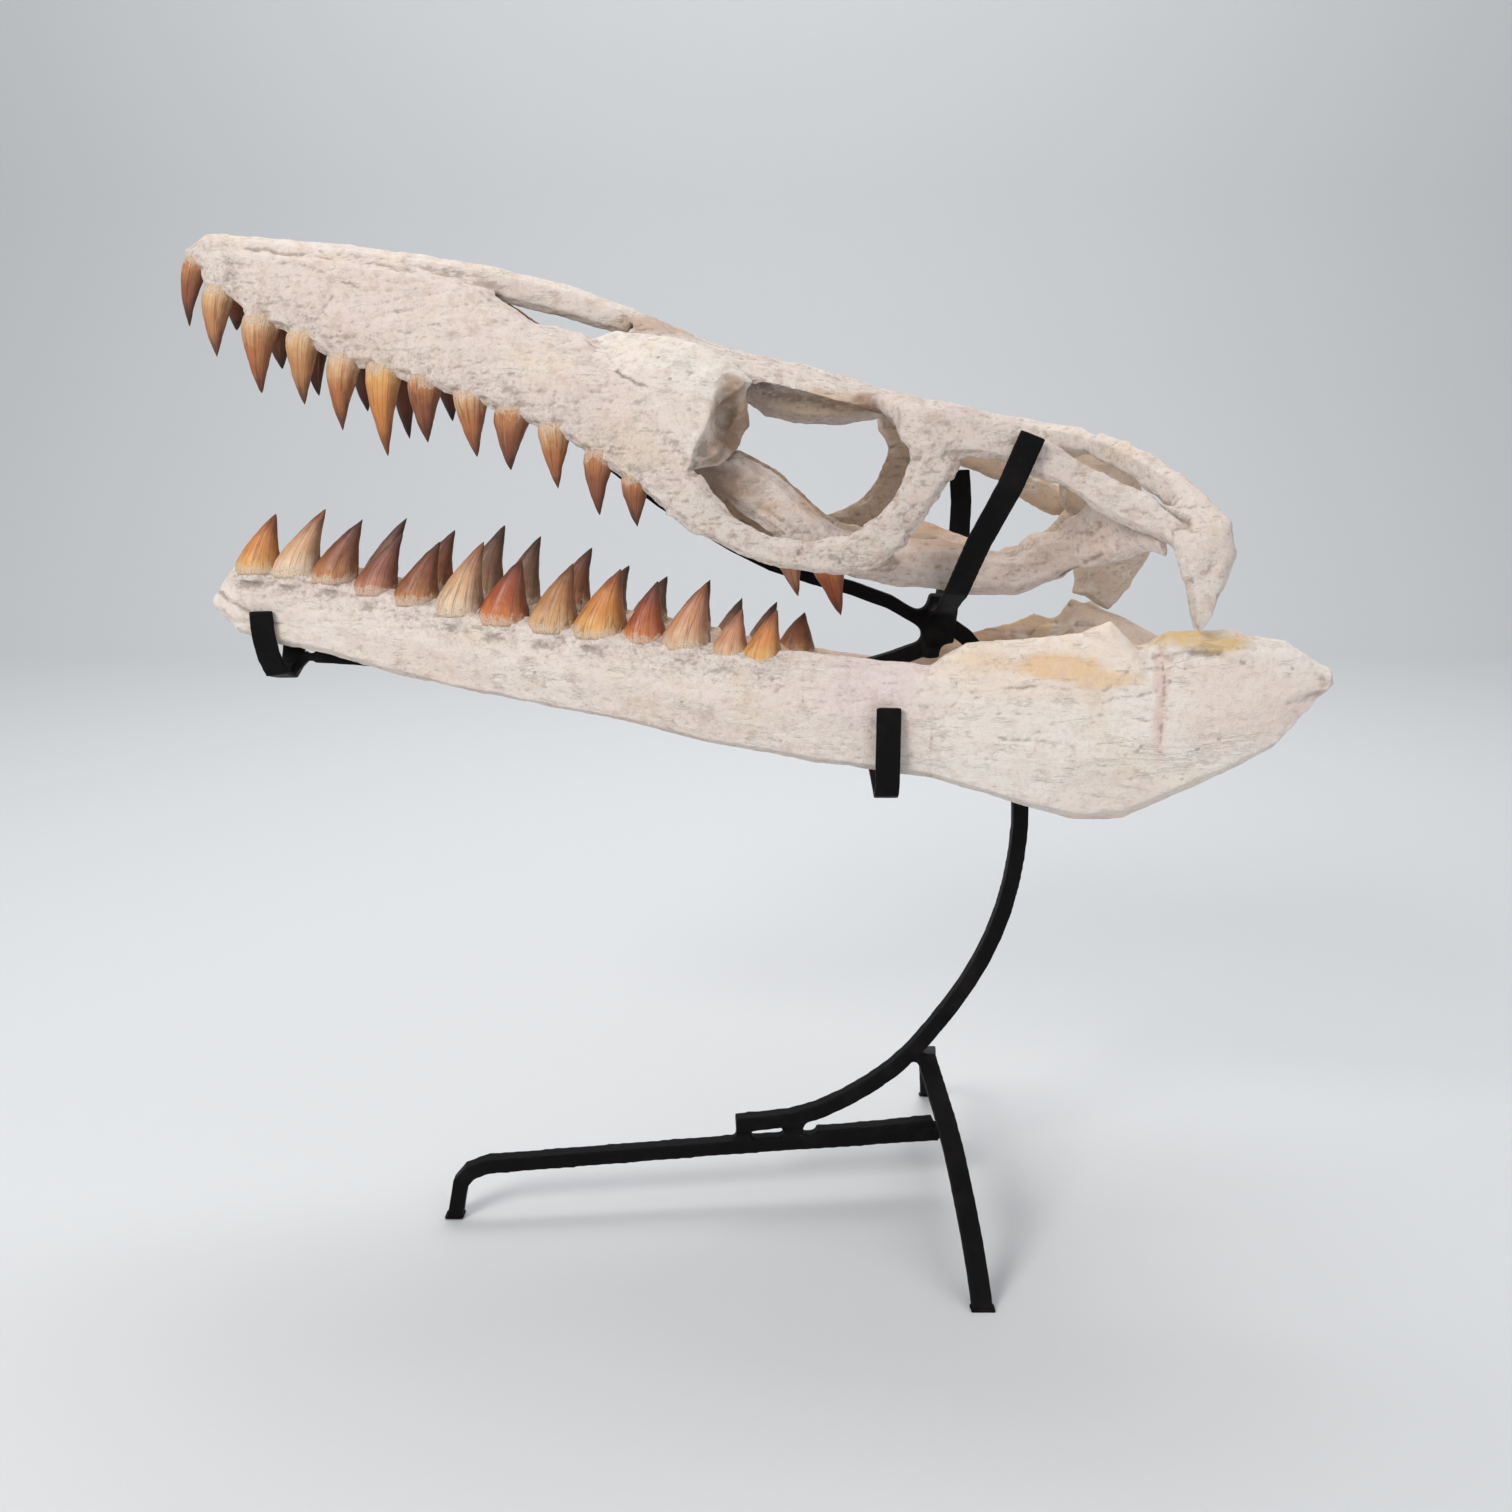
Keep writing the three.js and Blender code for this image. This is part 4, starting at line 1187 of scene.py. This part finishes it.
    def _weather(self, mesh: bpy.types.Mesh, sources: list[BVHTree]) -> None:
        """Gives the skin its unevenness, joints, pits and ground colours.

        Args:
            mesh: The fused skin.
            sources: Each bone's own solid.
        """
        seam, near, tint, rugged = self._joints(points_of(mesh), sources)
        relax(mesh, self.EVEN_ROUNDS, self.EVEN_BACK, near)
        rows = points_of(mesh)
        normals = normals_of(mesh)
        gum = self._gum(rows)
        cuts = np.zeros(len(rows))
        for groove in self.grooves:
            mark = groove.nearness(rows)
            cuts = np.maximum(cuts, mark * groove.depth * MM)
            seam = np.maximum(seam, mark * min(1.0, 0.8 * groove.depth))
        tint, stained = self._stain(rows, tint)
        broad = field_of(rows, (22, 26, 26), 2, self.seed)
        lumps = field_of(rows, (55, 80, 80), 4, self.seed + 5)
        grain = field_of(rows, (38, 150, 150), 3, self.seed + 9)
        chips = np.maximum(field_of(rows, (60, 95, 95), 4, self.seed + 2, ridged=True), 0.0)
        rough = self.rough * (1.2 * rugged + 1.6 * gum)
        relief = self.wave * 0.6 * broad * rugged + rough * (0.9 * lumps + 0.5 * grain)
        relief = relief - self.wave * 0.35 * chips * rugged - self.SEAM * seam - cuts - self.PARE
        place_points(mesh, rows + normals * relief[:, None])
        mean = neighbour_mean(mesh)
        rows = points_of(mesh)
        # how deep each spot lies below its neighbours, which the material paints darker as shade
        outward = ((rows - mean(mean(mean(rows)))) * normals_of(mesh)).sum(axis=1)
        kept = {
            "hollow": np.clip(-outward / self.HOLLOW, 0, 1), "gum": gum, "seam": seam,
            "tint": tint, "stained": stained, "rugged": rugged,
        }  # fmt: skip
        for name, values in kept.items():
            store(mesh, name, values)

    def _stain(self, rows: np.ndarray, tint: np.ndarray) -> tuple[np.ndarray, np.ndarray]:
        """Lays the group's stains, a few of which are painted shade, over the ground colours.

        Args:
            rows: The skin's points.
            tint: Their ground colours.

        Returns:
            The stained colours, and how far each point is stained, from 0 to 1.
        """
        drift = field_of(rows, (28, 40, 40), 4, self.seed + 30)
        stained = np.zeros(len(rows))
        for stain in self.stains:
            near = stain.nearness(rows)
            share = np.clip(2.2 * near + 0.9 * drift - 0.1, 0, 1) * (near > 0) * stain.strength
            stained = np.maximum(stained, share)
            tint = tint * (1 - share[:, None]) + np.array(stain.colour) * share[:, None]
        return tint, stained

    def _joints(
        self, rows: np.ndarray, sources: list[BVHTree]
    ) -> tuple[np.ndarray, np.ndarray, np.ndarray, np.ndarray]:
        """Finds where two bones meet, and blends their colours there.

        Args:
            rows: The skin's points.
            sources: Each bone's own solid.

        Returns:
            The joint line and the band round it, from 0 to 1, the ground colour and the ruggedness.
        """
        wander = field_of(rows, (90, 90, 90), 3, self.seed + 20) * 2.0 * MM
        distances = np.zeros((len(rows), len(sources)))
        for index, row in enumerate(rows):
            spot = Vector(row)
            for column, tree in enumerate(sources):
                found = tree.find_nearest(spot, self.FAR)[3]
                distances[index, column] = self.FAR if found is None else found
        moved = distances.copy()
        moved[:, ::2] += wander[:, None]
        order = np.sort(moved, axis=1)
        seam, near = np.zeros(len(rows)), np.zeros(len(rows))
        if len(sources) > 1:
            apart = order[:, 1] - order[:, 0]
            patchy = np.clip(0.35 + field_of(rows, (30, 30, 30), 2, self.seed + 40), 0, 1)
            line = np.exp(-((apart / self.LINE) ** 2)) * (order[:, 1] < self.LINE_REACH)
            seam = self.LINE_SHARE * line * patchy
            near = np.exp(-((apart / self.BAND) ** 2)) * (order[:, 1] < self.BAND_REACH)
        weight = np.exp(-(moved - order[:, :1]) / self.BLEND)
        weight /= weight.sum(axis=1, keepdims=True)
        tint = weight @ np.array([tone.value for tone, _ in self.bones.values()])
        return seam, near, tint, weight @ np.array([rugged for _, rugged in self.bones.values()])

    def _gum(self, rows: np.ndarray) -> np.ndarray:
        """Nearness of each point to the tooth row.

        Args:
            rows: The skin's points.

        Returns:
            From 0 far away to 1 at the sockets.
        """
        feet = [crown.centre(0.12) for row in self.rows for crown in row.crowns]
        if not feet:
            return np.zeros(len(rows))
        tree = KDTree(len(feet))
        for number, foot in enumerate(feet):
            tree.insert(foot, number)
        tree.balance()
        near = np.array([tree.find(row)[2] for row in rows])
        return np.clip(1.35 - near / self.GUM, 0, 1)


UPPER_NEAR = (
    Enamel.HONEY, Enamel.TAN, Enamel.HONEY, Enamel.AMBER, Enamel.UMBER,
    Enamel.HONEY, Enamel.UMBER, Enamel.HONEY, Enamel.UMBER, Enamel.UMBER,
)  # fmt: skip
LOWER_NEAR = (
    Enamel.AMBER, Enamel.CREAM, Enamel.UMBER, Enamel.MAROON, Enamel.UMBER, Enamel.CREAM,
    Enamel.RUST, Enamel.TAN, Enamel.AMBER, Enamel.RUST, Enamel.PEACH, Enamel.PEACH, Enamel.AMBER,
)  # fmt: skip


class Skull:
    """All the bones and teeth."""

    def __init__(self, bone: bpy.types.Material, enamel: bpy.types.Material) -> None:
        """Keeps the finishes of bones and crowns, and lists the groups."""
        self.bone = bone
        self.enamel = enamel
        self.groups = [self.skull(), self.palate(), *self.jaws()]

    @staticmethod
    def skull() -> BoneGroup:
        """The snout, the forehead, the cheeks and the bars round the temple openings."""
        bones = {
            "premaxilla": (Tone.CHALK, 1.1),
            "frontal": (Tone.CHALK, 1.8),
            "parietal": (Tone.CHALK, 1.4),
        }
        both = {
            "maxilla": (Tone.PINK, 1.3),
            "prefrontal": (Tone.PLASTER, 1.2),
            "jugal": (Tone.CHALK, 2.0),
            "postorbital": (Tone.PINK, 1.7),
            "squamosal": (Tone.CHALK, 1.5),
            "supratemporal": (Tone.CHALK, 1.5),
            "quadrate": (Tone.CHALK, 1.5),
        }
        for bone, (tone, rugged) in both.items():
            # painted shade: the far (right) side's bones take the darker SAND
            bones |= {f"{bone}_left": (tone, rugged), f"{bone}_right": (Tone.SAND, rugged)}
        # painted shade: the far side's crowns, in the front row and in the right row, are DARK
        front = (Enamel.UMBER, Enamel.DARK, Enamel.TAN, Enamel.DARK)
        teeth = {
            "premaxilla": ("teeth_front", False, front),
            "maxilla_left": ("teeth_upper_left", False, UPPER_NEAR),
            "maxilla_right": ("teeth_upper_right", False, (Enamel.DARK,)),
        }
        patches = [Patch(("frontal", "prefrontal_left", "prefrontal_right", "parietal"), 6 * MM)]
        joints = (
            ("maxilla_{}", "prefrontal_{}", 10), ("maxilla_{}", "premaxilla", 5),
            ("maxilla_{}", "jugal_{}", 6), ("jugal_{}", "postorbital_{}", 7),
            ("postorbital_{}", "squamosal_{}", 6), ("squamosal_{}", "quadrate_{}", 10),
            ("supratemporal_{}", "quadrate_{}", 10),
        )  # fmt: skip
        for side in ("left", "right"):
            for first, second, reach in joints:
                patches.append(Patch((first.format(side), second.format(side)), reach * MM))
        dishes = (
            Dish((-3, 88, 721), (20, 30, 34), (-8, -24, 0)),  # the eye socket's front wall
            Dish((6, 84, 718), (16, 30, 28), (-9, -6, 0)),  # and its edge
            Dish((126, 108, 710), (26, 34, 32), (18, 0, 6), 0.0, 1.0),  # its crushed rear corner
            Dish((353, 179, 563), (30, 40, 30), (0, 0, 2), 0.75),  # the tip of the quadrate
            Dish((-22, 96, 702), (15, 24, 13), (-3, -5, -2)),
            Dish((-421, 26, 835), (13, 24, 44), (0, 5, 0)),  # fills the snout's joint
        )
        snout = ((-420, 861), (-360, 858), (-303, 850), (-262, 841), (-220, 831), (-189, 816))
        nostril = ((-388, 847), (-361, 850), (-335, 841), (-330, 822), (-343, 804), (-369, 801))
        grooves = (
            Groove(snout, 38, 1.6, 0.9),
            Groove(((-356, 858), (-338, 857)), 30, 1.6, 1.6),
            Groove(((-320, 834), (-301, 828)), 42, 1.6, 1.6),
            Groove(((-401, 779), (-406, 803), (-412, 826), (-415, 848)), 35, 1.4, 0.5),
            Groove(nostril, 38, 1.8, 0.4),
            Groove(((-108, 787), (-130, 754), (-144, 723)), 80, 2.2, 0.5),
            Groove(((-95, 761), (-80, 751), (-68, 750)), 85, 1.4, 1.2),
            Groove(((-136, 745), (-95, 738), (-60, 742), (-35, 734)), 90, 1.6, 0.5),
            Groove(((136, 692), (151, 702), (163, 706)), 130, 2.0, 1.2),
            Groove(((52, 622), (56, 635), (66, 641)), 118, 2.0, 1.2),
            Groove(((312, 674), (330, 659), (347, 643)), 165, 3.2, 3.0),
        )
        brown, rust = paint(188, 150, 118), paint(196, 146, 104)
        stains = (
            # painted shade: the eye socket's recessed front wall is painted dark brown
            StainAndShade((0, 78, 720), (25, 42, 42), paint(150, 122, 98), 0.95),
            StainAndShade((-14, 92, 700), (20, 26, 18), paint(156, 128, 106), 0.85),
            StainAndShade((66, 44, 734), (80, 50, 19), paint(214, 188, 162), 0.85),
            StainAndShade((-66, 8, 798), (46, 26, 16), brown, 0.6),
            StainAndShade((118, 50, 700), (24, 40, 56), rust, 0.75),
            # painted shade: the dark corner where the forehead meets the postorbital bar
            StainAndShade((112, 56, 734), (20, 34, 16), paint(130, 92, 66), 0.75),
            StainAndShade((250, 110, 700), (60, 30, 16), brown, 0.5),
        )
        melt = (
            Spot((352, 176, 655), (46, 40, 44)),
            Spot((116, 60, 731), (32, 40, 32)),
            Spot((134, 104, 712), (34, 40, 36)),
            Spot((-420, 26, 832), (30, 34, 54)),
            Spot((-84, 74, 745), (52, 54, 58)),
        )
        return BoneGroup(
            "skull", bones, tuple(patches), dishes, grooves, stains, melt, teeth=teeth,
            cuts=(-0.116, 0.090),
        )  # fmt: skip

    @staticmethod
    def palate() -> BoneGroup:
        """The bones of the mouth's roof."""
        # painted shade: the palate and palatines deep inside the mouth take the dark UMBER, and the
        # far (right) pterygoid the darker SAND
        bones = {"palate": (Tone.UMBER, 1.0), "braincase": (Tone.SAND, 1.6)}
        for side, tone in (("left", Tone.PINK), ("right", Tone.SAND)):
            bones |= {
                f"pterygoid_{side}": (tone, 1.5),
                f"ectopterygoid_{side}": (Tone.SAND, 1.2),
                f"palatine_{side}": (Tone.UMBER, 1.2),
            }
        peach = (Enamel.PEACH, Enamel.RUST)
        teeth = {
            "pterygoid_left": ("teeth_palate_left", False, peach),
            # painted shade: the far side's crowns are DARK
            "pterygoid_right": ("teeth_palate_right", False, (Enamel.DARK,)),
        }
        stains = (
            StainAndShade((70, 58, 655), (70, 26, 16), paint(204, 168, 132), 0.7),
            # painted shade: the dark inside of the cheek, in front of the pterygoid
            StainAndShade((-24, 60, 672), (56, 44, 36), paint(128, 100, 78), 0.8),
            StainAndShade((185, 62, 628), (60, 30, 10), paint(204, 160, 118), 0.8),
            StainAndShade((210, 90, 634), (120, 70, 40), paint(213, 190, 174), 0.6),
        )
        lines = (
            Groove(((20, 655), (60, 632), (110, 606)), 72, 1.8, 0.8),
            Groove(((262, 590), (285, 612), (306, 628)), 104, 2.2, 1.4),
        )
        dishes = (
            Dish((318, 150, 632), (38, 44, 26), (0, 0, 4), 0.65),  # the wing's rear end
            Dish((284, 108, 652), (44, 44, 26), (0, 4, 13)),  # its top, up under the cheek bar
        )
        return BoneGroup("palate_bones", bones, (), dishes, lines, stains, seed=31.0, teeth=teeth)

    @staticmethod
    def jaws() -> list[BoneGroup]:
        """Both lower jaws."""
        # painted shade: the far (right) jaw takes darker bone tones and darker crowns
        rows = {"left": LOWER_NEAR, "right": (Enamel.GREY, Enamel.UMBER, Enamel.GREY)}
        tones = {
            "left": (Tone.CHALK, Tone.STRAW, Tone.PLASTER),
            "right": (Tone.SAND, Tone.CLAY, Tone.SAND),
        }
        saddle_foot = (
            (161, 540), (173, 522), (188, 516), (242, 521), (288, 519), (302, 532), (312, 550),
        )  # fmt: skip
        grooves = (
            Groove(saddle_foot, 160, 1.8, 0.7),
            Groove(((179, 514), (168, 499), (163, 453)), 155, 1.6, 0.5),
            Groove(((188, 511), (234, 520), (257, 521), (287, 510), (325, 518)), 165, 1.5, 0.5),
            Groove(((185, 497), (239, 500), (285, 492), (322, 497)), 165, 1.3, 0.35),
            Groove(((209, 479), (243, 478), (277, 471), (328, 473)), 165, 1.5, 0.5),
            Groove(((200, 462), (250, 457), (300, 459)), 165, 1.2, 0.3),
            Groove(((329, 552), (333, 513), (330, 464)), 172, 1.5, 0.5),
            Groove(((324, 545), (345, 549), (372, 548), (398, 541)), 170, 2.4, 2.2),
            Groove(((-461, 584), (-430, 563), (-394, 551)), 24, 1.8, 0.8),
            Groove(((-173, 476), (-147, 467), (-113, 463)), 88, 1.8, 1.0),
        )
        stains = (
            StainAndShade((247, 160, 537), (44, 60, 12), paint(224, 184, 138), 0.80),
            StainAndShade((284, 165, 527), (36, 60, 10), paint(225, 192, 152), 0.75),
            StainAndShade((192, 155, 540), (24, 60, 10), paint(223, 196, 166), 0.65),
            StainAndShade((331, 170, 508), (9, 60, 62), paint(216, 184, 172), 0.70),
            StainAndShade((112, 142, 525), (54, 40, 44), paint(222, 204, 203), 0.65),
            StainAndShade((390, 170, 510), (76, 50, 46), paint(223, 203, 192), 0.60),
            StainAndShade((358, 160, 559), (56, 44, 13), paint(212, 178, 124), 0.90),
            StainAndShade((-300, 50, 510), (120, 50, 40), paint(224, 208, 198), 0.50),
            StainAndShade((-60, 105, 480), (120, 50, 30), paint(222, 205, 196), 0.50),
        )
        made = []
        for side, shades in rows.items():
            front, saddle, rear = tones[side]
            bones = {
                f"dentary_{side}": (front, 1.0),
                f"coronoid_{side}": (saddle, 0.7),
                f"surangular_{side}": (rear, 0.8),
            }
            teeth = {f"dentary_{side}": (f"teeth_lower_{side}", True, shades)}
            made.append(BoneGroup(
                f"jaw_{side}", bones, (Patch(tuple(bones), 9 * MM),), (), grooves, stains,
                level=(Spot((238, 165, 518), (110, 60, 56)),), voxel=1.76 * MM,
                seed=37.0 if side == "left" else 41.0, teeth=teeth,
            ))  # fmt: skip
        return made

    def build(self) -> None:
        """Makes every bone group and tooth row."""
        for group in self.groups:
            group.build(self.bone)
            for row in group.rows:
                row.build(self.enamel)


# ---- stand ----


@dataclass
class Ironwork:
    """Irons that are welded together, fused into one forged piece."""

    name: str
    irons: tuple[str, ...]
    voxel: float = 1.4 * MM
    weld: float = 2.0 * MM
    rounds: int = 14
    melting: int = 80
    dent: float = 0.16 * MM
    melt: tuple[Spot, ...] = ()

    SWELL = 0.55 * MM  # each iron grows by this much first, so that neighbours fuse
    PARE = 0.45 * MM  # and the finished skin is taken back by this much
    SHARP = 0.25 * MM  # a spot that stands this far out counts as an edge

    def build(self, finish: bpy.types.Material) -> bpy.types.Object:
        """Makes the piece.

        Args:
            finish: The iron.

        Returns:
            The piece.
        """
        bm = merged(self.irons)
        swell(bm, self.SWELL)
        mesh = closed_skin(bm, self.voxel, self.weld)
        piece = linked(self.name, mesh)
        relax(mesh, self.rounds)
        mean = neighbour_mean(mesh)
        rows = points_of(mesh)
        rows = settled(mesh, rows, 0.5 * covered(self.melt, rows), self.melting)
        place_points(mesh, rows)
        normals = normals_of(mesh)
        relief = self.dent * field_of(rows, (70, 70, 70), 3, 2.0) - self.PARE
        edge = ((rows - mean(mean(rows))) * normals).sum(axis=1)
        place_points(mesh, rows + normals * relief[:, None])
        store(mesh, "edge", np.clip(edge / self.SHARP, 0, 1))
        mesh.materials.clear()
        mesh.materials.append(finish)
        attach(piece, "root")
        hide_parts(*self.irons)
        log.info("%s: %d irons, %d faces", self.name, len(self.irons), len(mesh.polygons))
        return piece


class Stand:
    """The black iron stand."""

    def __init__(self, finish: bpy.types.Material) -> None:
        """Keeps the iron's finish, and lists the welded pieces."""
        self.finish = finish
        self.works = [
            Ironwork("stand_base", (
                "stand_post_top", "stand_post_middle", "stand_post_foot", "stand_long_bar",
                "stand_cross_bar", "stand_strip", "stand_strut_front", "stand_strut_back",
                "stand_leg_left", "stand_leg_right",
            )),
            Ironwork("stand_fork", (
                "stand_hub", "stand_bolt", "stand_spine", "stand_front_hook", "stand_hook_tie",
                "stand_drop", "stand_cradle_left", "stand_cradle_right", "stand_palate_arm",
                "stand_clip_left", "stand_clip_right",
            ), weld=3.2 * MM, melt=(Spot((181, 16, 566), (46, 72, 52)),)),
        ]  # fmt: skip

    def build(self) -> None:
        """Makes every welded piece."""
        for work in self.works:
            work.build(self.finish)


# ---- studio ----


@dataclass
class Studio:
    """Floor, backdrop, soft lights and the camera."""

    eye: tuple[float, float, float] = (0.017, -1.290, 0.726)
    pitch: float = -13.0
    lens: float = 35.0
    floor_size: float = 14.0
    floor_back: float = 3.2
    curve: float = 1.6
    wall: float = 4.0

    def build(self) -> None:
        """Makes the studio."""
        bpy.context.scene.view_settings.view_transform = "Standard"
        self._floor()
        self._lights()
        self._camera()

    @staticmethod
    def _drawn(
        bm: bmesh.types.BMesh, edges: list[bmesh.types.BMEdge], way: tuple[float, float, float]
    ) -> tuple[list[bmesh.types.BMVert], list[bmesh.types.BMEdge]]:
        """Draws edges out into a strip.

        Args:
            bm: The mesh.
            edges: The edges.
            way: How far they go.

        Returns:
            The points and edges at the strip's far end.
        """
        made = bmesh.ops.extrude_edge_only(bm, edges=edges)["geom"]
        verts = [g for g in made if isinstance(g, bmesh.types.BMVert)]
        bmesh.ops.translate(bm, verts=verts, vec=way)
        return verts, [g for g in made if isinstance(g, bmesh.types.BMEdge)]

    def _floor(self) -> None:
        """A sheet of pale paper that curves up behind the object."""
        bm = bmesh.new()
        half, close = self.floor_size / 2, 0.01 * MM
        start = [bm.verts.new((x, -half, 0.0)) for x in (-half, half)]
        rim, edge = self._drawn(bm, [bm.edges.new(start)], (0, half + self.floor_back, 0))
        bmesh.ops.spin(
            bm, geom=[*rim, *edge], cent=(0, self.floor_back, self.curve), axis=(1, 0, 0),
            angle=math.radians(90), steps=24,
        )  # fmt: skip
        top = max(v.co.z for v in bm.verts)
        last = [e for e in bm.edges if all(abs(v.co.z - top) < close for v in e.verts)]
        self._drawn(bm, last, (0, 0, self.wall))
        bmesh.ops.remove_doubles(bm, verts=bm.verts, dist=close)
        bmesh.ops.recalc_face_normals(bm, faces=bm.faces)
        mesh = bpy.data.meshes.new("studio_paper")
        bm.to_mesh(mesh)
        bm.free()
        paper = linked("studio_paper", mesh)
        mesh.materials.append(FloorFinish().material())

    @staticmethod
    def _lamp(
        name: str, power: float, size: float, place: Vector, aim: Vector, colour: Colour
    ) -> None:
        """Hangs one soft lamp.

        Args:
            name: Its name.
            power: Its power in watts.
            size: Its width.
            place: Where it hangs.
            aim: What it points at.
            colour: Its light.
        """
        data = bpy.data.lights.new(name, "AREA")
        data.energy = power
        data.shape = "DISK"
        data.size = size
        data.color = colour
        lamp = bpy.data.objects.new(name, data)
        lamp.location = place
        lamp.rotation_euler = (aim - place).to_track_quat("-Z", "Y").to_euler()
        bpy.context.scene.collection.objects.link(lamp)

    def _lights(self) -> None:
        """A key from the upper left front, a broad fill from the right and one from behind."""
        aim, wall, white = Vector((0.0, 0.0, 0.55)), Vector((0.0, 5.2, 0.8)), (1.0, 1.0, 1.0)
        self._lamp("key", 58.0, 1.2, Vector((-1.7, -2.1, 2.1)), aim, (1.0, 0.985, 0.96))
        self._lamp("fill", 25.0, 2.4, Vector((1.6, -2.9, 0.9)), aim, (0.97, 0.98, 1.0))
        self._lamp("top", 26.0, 2.2, Vector((0.2, 1.3, 2.9)), aim, white)
        self._lamp("wash", 110.0, 4.0, Vector((0.0, 1.6, 4.6)), wall, white)
        world = bpy.data.worlds.new("studio_air")
        bpy.context.scene.world = world
        world.use_nodes = True
        backdrop = world.node_tree.nodes["Background"]
        backdrop.inputs["Color"].default_value = (0.93, 0.96, 1.0, 1.0)
        backdrop.inputs["Strength"].default_value = 0.46

    def _camera(self) -> None:
        """The camera in front of the left side."""
        data = bpy.data.cameras.new("camera")
        data.lens = self.lens
        data.sensor_width = 36.0
        data.clip_start = 0.05
        data.clip_end = 60.0
        camera = bpy.data.objects.new("camera", data)
        camera.location = self.eye
        camera.rotation_euler = (math.radians(90 + self.pitch), 0.0, 0.0)
        bpy.context.scene.collection.objects.link(camera)
        bpy.context.scene.camera = camera


def main() -> None:
    """Builds the skull, the stand and the studio."""
    logging.basicConfig(level=logging.INFO, format="%(name)s: %(message)s", stream=sys.stdout)
    Skull(BoneFinish().material(), CrownFinish().material()).build()
    Stand(IronFinish().material()).build()
    Studio().build()


if __name__ == "__main__":
    main()
